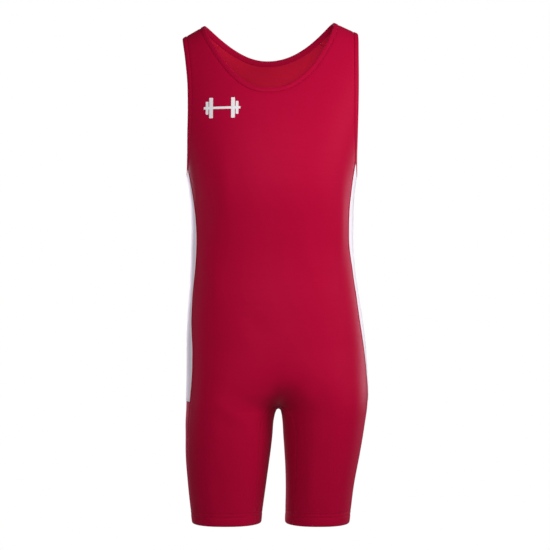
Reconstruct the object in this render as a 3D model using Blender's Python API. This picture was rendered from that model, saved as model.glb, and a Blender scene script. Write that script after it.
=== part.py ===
"""A weightlifting singlet, open and hollow as it is worn, with a cloth wall for each sewn piece.

Metres, +Z up, the wearer facing -Y. The origin lies midway between the shoulder straps.
A place on the garment is a chart pair: step goes 0 to 1 from the centre line to the side line,
below 0 for the left of the picture, and run climbs the front, crosses the shoulders and goes
down the back.
"""
import bpy
import numpy as np
from mathutils import Vector
from mathutils.geometry import delaunay_2d_cdt

# Cloth and sewing sizes
CLOTH = 0.0012
HEM_CLOTH = 0.0023
HEM_DEPTH = 0.022
HEM_STEP = 0.0025
SEAM_GAP = 0.0003
BINDING_WIDTH = 0.009
BINDING_OUT = (0.0006, 0.0008, 0.0004)
BINDING_IN = (0.0018, 0.0020, 0.0016)
BAND_LIFT = 0.0003
BAND_CLOTH = 0.0010

# Heights
HEM_HEIGHT = -0.9235
BAND_END = -0.695
CROTCH_HEIGHT = -0.7116
CHEST_HEIGHT = -0.290

# Shoulders: the ridge falls from the neck to the arm and is a little higher on the right
RIDGE_TOP = 0.0866
RIDGE_FALL = 0.1185
RIDGE_EASE = 0.35
RIDGE_TILT = 0.0056
SHOULDER_RUN = 0.340
RIDGE_RUN = CHEST_HEIGHT + SHOULDER_RUN
SHOULDER_SEAM_RUN = RIDGE_RUN + 0.110

# How square the sections are, and how round the crotch is
ROUND = 2.4
EASE = 0.10

# The worn form, one row a section
BODY_COLUMNS = ("height", "centre", "left", "right", "front", "back")
BODY_ROWS = (
    (0.070, -0.0066, 0.2220, 0.2240, 0.078, 0.085),
    (0.000, -0.0066, 0.2170, 0.2220, 0.080, 0.087),
    (-0.050, -0.0066, 0.1984, 0.2127, 0.086, 0.091),
    (-0.100, -0.0066, 0.1830, 0.2033, 0.095, 0.096),
    (-0.150, -0.0050, 0.1750, 0.1912, 0.104, 0.101),
    (-0.200, -0.0025, 0.1700, 0.1775, 0.112, 0.105),
    (-0.250, -0.0003, 0.1635, 0.1640, 0.117, 0.108),
    (-0.297, 0.0008, 0.1570, 0.1545, 0.118, 0.107),
    (-0.327, 0.0004, 0.1533, 0.1520, 0.115, 0.103),
    (-0.372, 0.0000, 0.1510, 0.1515, 0.107, 0.093),
    (-0.417, 0.0000, 0.1519, 0.1520, 0.100, 0.084),
    (-0.462, 0.0011, 0.1540, 0.1555, 0.098, 0.083),
    (-0.508, 0.0030, 0.1587, 0.1605, 0.100, 0.091),
    (-0.553, 0.0056, 0.1641, 0.1645, 0.102, 0.105),
    (-0.598, 0.0081, 0.1675, 0.1673, 0.104, 0.114),
    (-0.643, 0.0109, 0.1703, 0.1673, 0.103, 0.119),
    (-0.688, 0.0130, 0.1734, 0.1665, 0.099, 0.114),
    (-0.712, 0.0122, 0.1732, 0.1656, 0.097, 0.107),
    (-0.733, 0.0115, 0.1736, 0.1632, 0.095, 0.100),
    (-0.763, 0.0114, 0.1735, 0.1587, 0.092, 0.092),
    (-0.793, 0.0110, 0.1731, 0.1539, 0.088, 0.086),
    (-0.853, 0.0085, 0.1662, 0.1452, 0.080, 0.078),
    (-0.914, 0.0036, 0.1548, 0.1426, 0.072, 0.071),
    (-0.930, 0.0026, 0.1521, 0.1418, 0.070, 0.070),
)

# How far the legs are split: -1 is one whole section, FORK_START is the crotch, and a gap lies below it
FORK_COLUMNS = ("height", "split")


def split_by(gap):
    """Split of two legs whose gap is this share of the hips' width."""
    return np.sqrt((gap ** 2 + EASE ** 2) / (1 + EASE ** 2))


FORK_ROWS = (
    (0.070, -1.0),
    (-0.560, -1.0),
    (-0.590, -1.0),
    (-0.640, -0.5),
    (-0.680, -0.08),
    (-0.700, 0.065),
    (CROTCH_HEIGHT, split_by(0.0)),
    (-0.718, split_by(0.030)),
    (-0.733, split_by(0.048)),
    (-0.763, split_by(0.062)),
    (-0.793, split_by(0.080)),
    (-0.823, split_by(0.100)),
    (-0.853, split_by(0.118)),
    (-0.884, split_by(0.134)),
    (-0.914, split_by(0.147)),
    (-0.930, split_by(0.151)),
)

# How far the side panels' seams lie from the side line, forward and back
SIDE_COLUMNS = ("height", "left_front", "left_back", "right_front", "right_back")
SIDE_ROWS = (
    (-0.200, 0.038, 0.038, 0.052, 0.032),
    (-0.260, 0.042, 0.038, 0.051, 0.033),
    (-0.300, 0.048, 0.038, 0.050, 0.035),
    (-0.350, 0.053, 0.037, 0.051, 0.037),
    (-0.400, 0.053, 0.036, 0.047, 0.039),
    (-0.440, 0.049, 0.036, 0.039, 0.040),
    (-0.490, 0.043, 0.038, 0.037, 0.042),
    (-0.540, 0.045, 0.040, 0.039, 0.046),
    (-0.600, 0.053, 0.040, 0.035, 0.050),
    (-0.640, 0.057, 0.039, 0.030, 0.053),
    (-0.695, 0.057, 0.037, 0.021, 0.055),
    (-0.760, 0.046, 0.038, 0.019, 0.050),
    (-0.830, 0.032, 0.038, 0.019, 0.045),
    (-0.930, 0.026, 0.036, 0.019, 0.040),
)

# Armhole and neck seams on the chart
STRAP_OUTER_STEP = 0.513
UNDERARM_RUN = -0.2834
ARMHOLE_SPREAD = {"front": 1.8, "back": 1.5}
NECK_STEP = 0.398
NECK_FRONT_RUN = -0.180
NECK_BACK_RUN = 0.2245
NECK_ROUND = {"front": 2.18, "back": 2.00}
NECK_MIDDLE = (0.0, 0.0, 0.0)
ARMHOLE_MIDDLE = (0.2, 0.0, -0.15)

# Gusset: straight along the legs, then an elliptical arch over the crotch
GUSSET_HALF = 0.0340
ARCH_FOOT = -0.755
ARCH_TOP = -0.7045
ARCH_SPANS = 8
GUSSET_ACROSS = 3

# Mesh sizes
SPACING = 0.022
STEP_LENGTH = 0.25
UPPER_SPACING = 0.018
MARGIN = 0.45 * SPACING
LEG_LEVELS = 10
BODY_LEVELS = 16
HEM_SPANS = 7
SIDE_TOP_ROWS = 4
SIDE_TOP_END = -0.360
SIDE_PLACES = (-1.0, -0.94, -0.63, -0.32, 0.0, 0.32, 0.63, 0.94, 1.0)
NECK_FRONT_SPANS = 32
NECK_BACK_SPANS = 14
STRAP_SPANS = {"front": 13, "back": 6, "over": 9}
SHOULDER_SEAM_SPANS = 3
SHARP_ANGLE = 40
MITRE_LEAST = 0.3

# Reckoning
NUDGE = 0.0001
MERGE = 1e-7
SETTLINGS = 3
HALVINGS = 40

HEM_FOLD = HEM_HEIGHT + HEM_DEPTH
LEVELS = np.concatenate([
    [HEM_HEIGHT, HEM_FOLD, HEM_FOLD + HEM_STEP],
    np.linspace(HEM_FOLD + HEM_STEP, BAND_END, LEG_LEVELS)[1:],
    np.linspace(BAND_END, SIDE_TOP_END, BODY_LEVELS)[1:],
])

RED = (0.38, 0.010, 0.030, 1.0)
DARK_RED = (0.33, 0.008, 0.026, 1.0)
WHITE = (0.85, 0.85, 0.86, 1.0)
KNIT_ROUGHNESS = 0.45
TRIM_ROUGHNESS = 0.5


def as_table(names, rows):
    """Columns of a section table by name, in order of height."""
    return {name: np.array(values) for name, values in zip(names, zip(*sorted(rows)))}


BODY = as_table(BODY_COLUMNS, BODY_ROWS)
FORK = as_table(FORK_COLUMNS, FORK_ROWS)
FORK_START = split_by(0.0)
SIDE = as_table(SIDE_COLUMNS, SIDE_ROWS)


def smooth(table, name, height):
    """A column read at any height, along a curve that is smooth through the rows."""
    knots = table["height"]
    values = table[name]
    slopes = np.gradient(values, knots)
    height = np.clip(height, knots[0], knots[-1])
    low = np.clip(np.searchsorted(knots, height) - 1, 0, len(knots) - 2)
    span = knots[low + 1] - knots[low]
    part = (height - knots[low]) / span
    rise = values[low + 1] - values[low]
    start = slopes[low] * span
    end = slopes[low + 1] * span
    bend = 3 * rise - 2 * start - end
    return values[low] + part * (start + part * (bend + part * (start + end - 2 * rise)))


def shrink(share):
    """The height of a rounded square section, 1 in its middle and 0 at its edge."""
    return np.maximum(1 - share ** ROUND, 0) ** (1 / ROUND)


def lobes(height):
    """Inner edge, middle and reach of a leg's section, as shares of the half width."""
    split = np.clip(smooth(FORK, "split", height), -1, 1)
    inner = np.sqrt(np.maximum(np.maximum(split, 0) ** 2 * (1 + EASE ** 2) - EASE ** 2, 0))
    return inner, (1 + split) / 2, (1 - split) / 2


def off_lobe(share, height):
    """0 on the middle of a section and 1 on its edge."""
    _, middle, reach = lobes(height)
    eased = np.sqrt((share ** 2 + EASE ** 2) / (1 + EASE ** 2))
    return np.abs(eased - middle) / reach


def turn_start(height):
    """The angle round the section at which step 0 lies."""
    _, middle, reach = lobes(height)
    return np.arcsin(np.clip((FORK_START - middle) / reach, -1, 0))


def share_at(step, height):
    """Share of the half width at a step, the steps evenly spaced round the section."""
    inner, _, _ = lobes(height)
    start = turn_start(height)
    turn = start + (np.pi / 2 - start) * step
    return inner + (1 - inner) * (np.sin(turn) - np.sin(start)) / (1 - np.sin(start))


def step_at(share, height):
    """The step at a share of the half width, the inverse of share_at."""
    inner, _, _ = lobes(height)
    start = turn_start(height)
    rise = np.clip((share - inner) / (1 - inner), 0, 1)
    turn = np.arcsin(np.sin(start) + rise * (1 - np.sin(start)))
    return (turn - start) / (np.pi / 2 - start)


def half_width(side, height):
    """Half width of the worn form, on the left or the right of the centre line."""
    return np.where(side < 0, smooth(BODY, "left", height), smooth(BODY, "right", height))


def ridge_height(share, side):
    """Height of the shoulder ridge at a share of the half width."""
    return RIDGE_TOP - RIDGE_FALL * np.sqrt(share ** 2 + RIDGE_EASE ** 2) + RIDGE_TILT * side * share


def body_points(step, run):
    """Points of the cloth's outer face at chart places."""
    step = np.asarray(step, float)
    run = np.asarray(run, float)
    side = np.where(np.signbit(step), -1.0, 1.0)
    front = run <= RIDGE_RUN
    local = np.where(front, run, 2 * RIDGE_RUN - run)
    low = np.minimum(local, CHEST_HEIGHT)
    share = share_at(np.abs(step), low)
    climb = np.sin(np.pi / 2 * np.clip((local - CHEST_HEIGHT) / SHOULDER_RUN, 0, 1))
    height = low + (ridge_height(share, side) - CHEST_HEIGHT) * climb
    depth = np.where(front, -smooth(BODY, "front", height), smooth(BODY, "back", height))
    across = smooth(BODY, "centre", height) + side * share * half_width(side, height)
    return np.stack([across, depth * shrink(off_lobe(share, low)) * shrink(climb), height], axis=-1)


def outside(points):
    """0 on the cloth's outer face, more outside it and less inside."""
    across, forward, height = np.moveaxis(points, -1, 0)
    offset = across - smooth(BODY, "centre", height)
    side = np.where(offset < 0, -1.0, 1.0)
    share = np.abs(offset) / half_width(side, height)
    climb = np.maximum((height - CHEST_HEIGHT) / (ridge_height(share, side) - CHEST_HEIGHT), 0)
    depth = np.where(forward < 0, smooth(BODY, "front", height), smooth(BODY, "back", height))
    flat = (1 - off_lobe(share, height) ** ROUND) * (1 - climb ** ROUND)
    return (np.abs(forward) / depth) ** ROUND - flat


def gradient(points):
    """Slope of outside() at each point."""
    slopes = np.empty_like(points)
    for axis in range(3):
        shift = np.zeros(3)
        shift[axis] = NUDGE
        slopes[..., axis] = (outside(points + shift) - outside(points - shift)) / (2 * NUDGE)
    return slopes


def unit(vectors):
    """Vectors at length 1."""
    return vectors / np.linalg.norm(vectors, axis=-1, keepdims=True)


def normals(points):
    """Outward normals of the worn form."""
    return unit(gradient(points))


def settle(points):
    """Points moved straight onto the worn form."""
    for _ in range(SETTLINGS):
        slopes = gradient(points)
        points = points - (outside(points) / np.sum(slopes ** 2, axis=-1))[..., None] * slopes
    return points


def armhole_seam(turn):
    """Chart place of the armhole seam: turn 0 under the arm, 1 on the ridge, 2 under the arm again."""
    turn = np.asarray(turn, float)
    climb = np.minimum(turn, 2 - turn)
    spread = np.where(turn <= 1, ARMHOLE_SPREAD["front"], ARMHOLE_SPREAD["back"])
    step = STRAP_OUTER_STEP + (1 - STRAP_OUTER_STEP) * (1 - climb) ** spread
    local = UNDERARM_RUN + (RIDGE_RUN - UNDERARM_RUN) * climb ** 2
    return step, np.where(turn <= 1, local, 2 * RIDGE_RUN - local)


def neck_seam(turn):
    """Chart place of the neck seam, an oval: turn 0 at the right, pi / 2 at the middle of the back."""
    middle = (NECK_BACK_RUN + NECK_FRONT_RUN) / 2
    half = (NECK_BACK_RUN - NECK_FRONT_RUN) / 2
    power = 2 / np.where(np.sin(turn) > 0, NECK_ROUND["back"], NECK_ROUND["front"])
    across = np.sign(np.cos(turn)) * np.abs(np.cos(turn)) ** power
    along = np.sign(np.sin(turn)) * np.abs(np.sin(turn)) ** power
    return NECK_STEP * across, middle + half * along


def side_step(name, place, local):
    """Step of a line on a side panel: place -1 is its front seam, 0 the side line, 1 its back seam."""
    face = "front" if place < 0 else "back"
    depth = smooth(SIDE, name + "_" + face, local) * abs(place)
    low = np.minimum(local, CHEST_HEIGHT)
    _, middle, reach = lobes(low)
    eased = middle + reach * shrink(depth / smooth(BODY, face, local))
    share = np.sqrt(np.maximum(eased ** 2 * (1 + EASE ** 2) - EASE ** 2, 0))
    return step_at(share, low)


def solve(function, low, high):
    """Where a falling function is 0, by halving."""
    for _ in range(HALVINGS):
        middle = (low + high) / 2
        if function(middle) > 0:
            low = middle
        else:
            high = middle
    return (low + high) / 2


def side_top_turn(name, place):
    """Turn at which a side panel's line meets the armhole seam."""
    if place == 0:
        return 0.0

    def ahead(climb):
        turn = climb if place < 0 else 2 - climb
        step, run = armhole_seam(turn)
        local = run if place < 0 else 2 * RIDGE_RUN - run
        return step - side_step(name, place, local)

    climb = solve(ahead, 0.0, 1.0)
    return climb if place < 0 else 2 - climb


def mirrored(local, place):
    """Run of a local height on the front (place below or at 0) or on the back."""
    return local if place <= 0 else 2 * RIDGE_RUN - local


def side_line(name, place):
    """Chart line down a side panel, from the armhole seam to the hem."""
    turn = side_top_turn(name, place)
    _, top_run = armhole_seam(turn)
    top = float(top_run) if place <= 0 else 2 * RIDGE_RUN - float(top_run)
    upper = np.linspace(top, SIDE_TOP_END, SIDE_TOP_ROWS + 1)[:-1]
    local = np.concatenate([upper, LEVELS[::-1]])
    sign = -1 if name == "left" else 1
    return sign * side_step(name, place, local), mirrored(local, place)


def gusset_half():
    """Offsets, seam heights and crease heights of half the gusset, from a hem to the top of the arch."""
    legs = LEVELS[LEVELS < ARCH_FOOT - SPACING / 2]
    angles = np.linspace(0, np.pi / 2, ARCH_SPANS + 1)
    offsets = np.concatenate([np.full(len(legs), GUSSET_HALF), GUSSET_HALF * np.cos(angles)])
    seams = np.concatenate([legs, ARCH_FOOT + (ARCH_TOP - ARCH_FOOT) * np.sin(angles)])
    creases = np.concatenate([legs, ARCH_FOOT + (CROTCH_HEIGHT - ARCH_FOOT) * np.sin(angles)])
    return offsets, seams, creases


def gusset_seam(side):
    """Chart steps and heights of a gusset seam, from one hem to the top of the arch."""
    offsets, seams, _ = gusset_half()
    return side * step_at(offsets / half_width(side, seams), seams), seams


def strap_turns(name):
    """Turns round an armhole: under the arm, up the front, over the ridge and down the back."""
    places = [side_top_turn(name, place) for place in SIDE_PLACES]
    front_top = places[0]
    back_top = places[-1]
    shoulder = 2 - np.sqrt((2 * RIDGE_RUN - SHOULDER_SEAM_RUN - UNDERARM_RUN) / (RIDGE_RUN - UNDERARM_RUN))
    return {
        "under": np.array(places),
        "front": np.linspace(front_top, 1, STRAP_SPANS["front"] + 1),
        "over": np.linspace(1, shoulder, STRAP_SPANS["over"] + 1),
        "back": np.linspace(shoulder, back_top, STRAP_SPANS["back"] + 1),
    }


def neck_turns():
    """Turns round the neck: the back part, then the front part, from shoulder seam to shoulder seam."""
    half = (NECK_BACK_RUN - NECK_FRONT_RUN) / 2
    lift = (SHOULDER_SEAM_RUN - (NECK_BACK_RUN + NECK_FRONT_RUN) / 2) / half
    shoulder = np.arcsin(lift ** (NECK_ROUND["back"] / 2))
    back = np.linspace(shoulder, np.pi - shoulder, NECK_BACK_SPANS + 1)
    front = np.linspace(np.pi - shoulder, 2 * np.pi + shoulder, NECK_FRONT_SPANS + 1)
    return back, front


def joined(*lines):
    """Chart lines end to end as one closed outline, each corner kept once."""
    return np.concatenate([np.stack(line, axis=-1)[:-1] for line in lines])


def straight(start, end, spans):
    """Chart points on a straight line."""
    part = np.linspace(0, 1, spans + 1)
    return start[0] + (end[0] - start[0]) * part, start[1] + (end[1] - start[1]) * part


def backwards(line):
    """A chart line from its other end."""
    return line[0][::-1], line[1][::-1]


def armhole_line(name, turns):
    """Chart line along an armhole seam."""
    step, run = armhole_seam(turns)
    return (-1 if name == "left" else 1) * step, run


def panel_outline(face):
    """Closed chart outline of the front or the back panel."""
    place = -1 if face == "front" else 1
    left = side_line("left", place)
    right = side_line("right", place)
    inner_left = gusset_seam(-1)
    inner_right = gusset_seam(1)
    if face == "back":
        inner_left = (inner_left[0], 2 * RIDGE_RUN - inner_left[1])
        inner_right = (inner_right[0], 2 * RIDGE_RUN - inner_right[1])
    turns = {name: strap_turns(name) for name in ("left", "right")}
    back_neck, front_neck = neck_turns()
    straps = {}
    for name in ("left", "right"):
        if face == "front":
            upward = np.concatenate([turns[name]["front"], turns[name]["over"][1:]])
            straps[name] = armhole_line(name, upward)
        else:
            straps[name] = backwards(armhole_line(name, turns[name]["back"]))
    neck = neck_seam(front_neck) if face == "front" else backwards(neck_seam(back_neck))
    shoulder_left = straight(
        (straps["left"][0][-1], straps["left"][1][-1]), (neck[0][0], neck[1][0]), SHOULDER_SEAM_SPANS)
    shoulder_right = straight(
        (neck[0][-1], neck[1][-1]), (straps["right"][0][-1], straps["right"][1][-1]), SHOULDER_SEAM_SPANS)
    hem_right = straight((right[0][-1], right[1][-1]), (inner_right[0][0], inner_right[1][0]), HEM_SPANS)
    hem_left = straight((inner_left[0][0], inner_left[1][0]), (left[0][-1], left[1][-1]), HEM_SPANS)
    return joined(
        backwards(left), straps["left"], shoulder_left, neck, shoulder_right,
        backwards(straps["right"]), right, hem_right, inner_right, backwards(inner_left), hem_left)


def clear_of(outline, points, margin):
    """Which points lie inside a flat outline and at least a margin from it."""
    start = outline
    end = np.roll(outline, -1, axis=0)
    edge = end - start
    toward = points[:, None, :] - start[None]
    part = np.clip(np.sum(toward * edge, axis=-1) / np.sum(edge ** 2, axis=-1), 0, 1)
    gap = np.linalg.norm(toward - part[..., None] * edge, axis=-1).min(axis=1)
    spans = (start[:, 1] > points[:, None, 1]) != (end[:, 1] > points[:, None, 1])
    rise = np.where(edge[:, 1] == 0, 1, edge[:, 1])
    crossing = start[:, 0] + toward[..., 1] / rise * edge[:, 0]
    inside = np.sum(spans & (points[:, None, 0] < crossing), axis=1) % 2 == 1
    return inside & (gap > margin)


def lattice(face):
    """Chart places of a panel's inner points, in staggered rows but for the two at the hem's fold."""
    top = SHOULDER_SEAM_RUN if face == "front" else 2 * RIDGE_RUN - SHOULDER_SEAM_RUN
    rows = np.concatenate([LEVELS[1:], np.arange(SIDE_TOP_END + UPPER_SPACING, top, UPPER_SPACING)])
    if face == "back":
        rows = 2 * RIDGE_RUN - rows
    pitch = SPACING / STEP_LENGTH
    reach = int(np.ceil(1 / pitch))
    places = []
    for index, run in enumerate(rows):
        shift = 0.5 if index > 1 and index % 2 else 0.0
        steps = (np.arange(-reach, reach + 1) + shift) * pitch
        places.append(np.stack([steps, np.full(len(steps), run)], axis=-1))
    return np.concatenate(places)


def panel_mesh(face):
    """Chart places and triangles of a panel, cut along its outline."""
    scale = np.array([STEP_LENGTH, 1.0])
    outline = panel_outline(face)
    inner = lattice(face)
    inner = inner[clear_of(outline * scale, inner * scale, MARGIN)]
    places = np.concatenate([outline, inner])
    count = len(outline)
    edges = [(index, (index + 1) % count) for index in range(count)]
    result = delaunay_2d_cdt([Vector(place) for place in places * scale], edges, [], 1, MERGE)
    order = [origins[0] for origins in result[3]]
    return places[order], np.array([[corner for corner in triangle] for triangle in result[2]])


def grid_triangles(rows, columns, closed=False):
    """Triangles of a grid of points, row by row; a closed one joins its last row to its first."""
    triangles = []
    for row in range(rows if closed else rows - 1):
        upper = row * columns
        lower = (row + 1) % rows * columns
        for column in range(columns - 1):
            triangles.append((upper + column, lower + column, lower + column + 1))
            triangles.append((upper + column, lower + column + 1, upper + column + 1))
    return np.array(triangles)


def turned_out(points, directions, triangles):
    """Triangles that face the way of the outward directions."""
    first, second, third = (points[triangles[:, corner]] for corner in range(3))
    facing = np.sum(np.cross(second - first, third - first) * directions[triangles[:, 0]])
    return triangles if facing > 0 else triangles[:, ::-1]


def rim(triangles):
    """Edges that only one triangle has, in its direction."""
    edges = {}
    for triangle in triangles:
        for start, end in zip(triangle, np.roll(triangle, -1)):
            edges[(int(start), int(end))] = True
    return [edge for edge in edges if (edge[1], edge[0]) not in edges]


def parted(points, directions, edges):
    """Points with the rim drawn in along the cloth by half a seam gap."""
    inward = {}
    for start, end in edges:
        draw = unit(np.cross(directions[start] + directions[end], points[end] - points[start]))
        inward.setdefault(start, []).append(draw)
        inward.setdefault(end, []).append(draw)
    moved = points.copy()
    for index, (one, other) in inward.items():
        moved[index] += SEAM_GAP / 2 * (one + other) / max(1 + np.dot(one, other), MITRE_LEAST)
    return moved


def cloth_wall(name, points, triangles, out_by, in_by, colour, roughness):
    """A closed wall between two faces that lie off the given points, as one object."""
    directions = normals(points)
    triangles = turned_out(points, directions, triangles)
    edges = rim(triangles)
    points = parted(points, directions, edges)
    count = len(points)
    outer = points + directions * np.reshape(out_by, (-1, 1))
    inner = points - directions * np.reshape(in_by, (-1, 1))
    faces = [tuple(int(corner) for corner in triangle) for triangle in triangles]
    faces += [tuple(int(corner) + count for corner in triangle[::-1]) for triangle in triangles]
    for start, end in edges:
        faces.append((end, start, start + count))
        faces.append((end, start + count, end + count))
    mesh = bpy.data.meshes.new(name)
    mesh.from_pydata(np.concatenate([outer, inner]).tolist(), [], faces)
    mesh.shade_smooth()
    mesh.set_sharp_from_angle(angle=np.radians(SHARP_ANGLE))
    mesh.materials.append(knit(colour, roughness))
    item = bpy.data.objects.new(name, mesh)
    bpy.context.scene.collection.objects.link(item)
    return item


def knit(colour, roughness):
    """A plain cloth material, shared by all pieces of one colour."""
    name = "cloth_%02d_%02d" % (colour[0] * 100, roughness * 100)
    material = bpy.data.materials.get(name)
    if material:
        return material
    material = bpy.data.materials.new(name)
    material.use_nodes = True
    shader = material.node_tree.nodes["Principled BSDF"]
    shader.inputs["Base Color"].default_value = colour
    shader.inputs["Roughness"].default_value = roughness
    shader.inputs["Metallic"].default_value = 0.0
    return material


def hem_thickness(points):
    """Wall thickness at each point: double where the hem is turned up."""
    return np.where(points[:, 2] < HEM_FOLD + HEM_STEP / 2, HEM_CLOTH, CLOTH)


def panel(face):
    """Front or back panel."""
    places, triangles = panel_mesh(face)
    points = body_points(places[:, 0], places[:, 1])
    cloth_wall(face + "_panel", points, triangles, 0.0, hem_thickness(points), RED, KNIT_ROUGHNESS)


def side_pieces(name):
    """A side panel from armhole to hem, and the white band that lies on it."""
    lines = [side_line(name, place) for place in SIDE_PLACES]
    grid = np.stack([body_points(*line) for line in lines], axis=1)
    rows, columns, _ = grid.shape
    points = grid.reshape(-1, 3)
    cloth_wall(
        "side_panel_" + name, points, grid_triangles(rows, columns),
        0.0, hem_thickness(points), RED, KNIT_ROUGHNESS)
    band_rows = rows - int(np.sum(LEVELS < BAND_END - NUDGE))
    band = grid[:band_rows, 1:-1].reshape(-1, 3)
    cloth_wall(
        "side_band_" + name, band, grid_triangles(band_rows, columns - 2),
        BAND_LIFT + BAND_CLOTH, -BAND_LIFT, WHITE, TRIM_ROUGHNESS)


def inner_leg_gusset():
    """Strip from one hem up the inner leg, over the crotch and down to the other hem."""
    offsets, seams, creases = gusset_half()
    across = np.linspace(1, 0, GUSSET_ACROSS + 1)
    halves = []
    for side in (-1, 1):
        seam_steps = step_at(offsets / half_width(side, seams), seams)
        columns = []
        for part in across:
            local = creases + (seams - creases) * part ** 2
            columns.append(body_points(side * seam_steps * part, local))
        for part in across[-2::-1]:
            local = creases + (seams - creases) * part ** 2
            columns.append(body_points(side * seam_steps * part, 2 * RIDGE_RUN - local))
        halves.append(np.stack(columns, axis=1))
    grid = np.concatenate([halves[0], halves[1][-2::-1]])
    points = grid.reshape(-1, 3)
    triangles = grid_triangles(grid.shape[0], grid.shape[1])
    cloth_wall("inner_leg_gusset", points, triangles, 0.0, hem_thickness(points), RED, KNIT_ROUGHNESS)


def binding(name, line, toward):
    """Folded binding from a closed seam line towards the hole it edges."""
    seam = body_points(*line)
    before = unit(seam - np.roll(seam, 1, axis=0))
    after = unit(np.roll(seam, -1, axis=0) - seam)
    draw = unit(np.cross(normals(seam), before + after))
    if np.sum(draw * (toward - seam)) < 0:
        draw = -draw
    columns = [seam]
    for part in (0.5, 1.0):
        columns.append(settle(seam + draw * BINDING_WIDTH * part))
    grid = np.stack(columns, axis=1)
    rows = len(seam)
    cloth_wall(
        name, grid.reshape(-1, 3), grid_triangles(rows, 3, closed=True),
        np.tile(BINDING_OUT, rows), np.tile(BINDING_IN, rows), DARK_RED, TRIM_ROUGHNESS)


def bindings():
    """Neck binding and the two armhole bindings."""
    back, front = neck_turns()
    neck = neck_seam(np.concatenate([back[:-1], front[:-1]]))
    binding("neck_binding", neck, np.array(NECK_MIDDLE))
    for name, side in (("left", -1), ("right", 1)):
        turns = strap_turns(name)
        under = turns["under"]
        around = np.concatenate([
            under[under <= 1][::-1], turns["front"][1:], turns["over"][1:], turns["back"][1:],
            under[under > 1][-2::-1]])
        middle = np.array([side, 1, 1]) * ARMHOLE_MIDDLE
        binding("armhole_binding_" + name, armhole_line(name, around), middle)


for old in list(bpy.data.objects):
    bpy.data.objects.remove(old)
panel("front")
panel("back")
side_pieces("left")
side_pieces("right")
inner_leg_gusset()
bindings()
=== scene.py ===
"""A red stretch-knit lifting suit, open and filled out as it is worn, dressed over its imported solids.

Metres, +Z up, the wearer facing -Y. A place on the garment is a chart pair: step goes 0 to 1 from the
centre line to the side line, below 0 for the left of the picture, and run climbs the front, crosses
the shoulders and goes down the back.
"""

import bpy
import numpy as np
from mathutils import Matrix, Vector
from mathutils.geometry import delaunay_2d_cdt


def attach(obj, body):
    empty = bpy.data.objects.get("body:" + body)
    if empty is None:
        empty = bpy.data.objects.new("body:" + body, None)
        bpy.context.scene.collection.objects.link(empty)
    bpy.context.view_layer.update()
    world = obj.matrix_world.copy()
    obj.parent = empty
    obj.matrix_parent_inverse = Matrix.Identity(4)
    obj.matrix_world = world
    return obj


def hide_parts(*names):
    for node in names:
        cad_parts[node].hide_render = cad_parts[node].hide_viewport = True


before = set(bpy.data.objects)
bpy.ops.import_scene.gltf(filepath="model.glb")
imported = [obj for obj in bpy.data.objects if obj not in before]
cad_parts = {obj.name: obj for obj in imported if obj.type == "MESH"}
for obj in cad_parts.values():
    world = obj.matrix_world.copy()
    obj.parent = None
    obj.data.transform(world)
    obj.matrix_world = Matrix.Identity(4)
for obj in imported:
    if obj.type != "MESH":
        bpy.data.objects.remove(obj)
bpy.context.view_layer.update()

# Camera, floor and light.
# The photograph looks straight at the front, level with the hips, against white. Its light is broad and
# soft, from the front and from the right of the picture, and the left side falls into a cooler shade.
VIEW_DISTANCE = 3.0
VIEW_ACROSS = 0.0056
VIEW_HEIGHT = -0.4606
VIEW_WIDTH = 1.034
SENSOR = 36.0
FLOOR_HEIGHT = -1.60
FLOOR_RADIUS = 1.8
FLOOR_SIDES = 96
FLOOR_COLOUR = (0.72, 0.72, 0.72, 1.0)
FLOOR_ROUGHNESS = 0.9
AMBIENT = 0.06
PLAIN = (1.0, 1.0, 1.0)
COOL = (1.0, 0.87, 1.04)
LIGHT_COLUMNS = ("name", "place", "target", "size", "spread", "watts", "colour")
LIGHTS = (
    ("front", (0.0, -1.50, 0.02), (0.0, 0.0, -0.30), 0.8, 180.0, 15.2, PLAIN),
    ("right", (1.30, -0.75, 0.12), (0.0, 0.0, -0.26), 0.8, 160.0, 11.9, PLAIN),
    ("left", (-1.45, 0.30, -0.54), (-0.1, 0.0, -0.56), 0.6, 80.0, 0.40, COOL),
    ("behind_right", (1.25, 0.90, -0.50), (0.1, 0.0, -0.52), 0.6, 80.0, 1.3, COOL),
    ("behind", (-1.15, 2.20, 0.00), (0.0, 0.0, -0.45), 1.2, 180.0, 34.0, COOL),
)


def aimed(item, place, target):
    """Put a light or camera at a place, looking at a target."""
    item.location = place
    item.rotation_euler = (Vector(target) - Vector(place)).to_track_quat("-Z", "Y").to_euler()
    bpy.context.scene.collection.objects.link(item)


camera_data = bpy.data.cameras.new("photograph")
camera_data.sensor_width = SENSOR
camera_data.lens = SENSOR * VIEW_DISTANCE / VIEW_WIDTH
camera = bpy.data.objects.new("photograph", camera_data)
aimed(camera, (VIEW_ACROSS, -VIEW_DISTANCE, VIEW_HEIGHT), (VIEW_ACROSS, 0.0, VIEW_HEIGHT))
bpy.context.scene.camera = camera
for row in LIGHTS:
    light = dict(zip(LIGHT_COLUMNS, row))
    lamp = bpy.data.lights.new(light["name"], "AREA")
    lamp.shape = "DISK"
    lamp.size = light["size"]
    lamp.energy = light["watts"]
    lamp.color = light["colour"]
    lamp.spread = np.radians(light["spread"])
    aimed(bpy.data.objects.new(light["name"], lamp), light["place"], light["target"])

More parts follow.
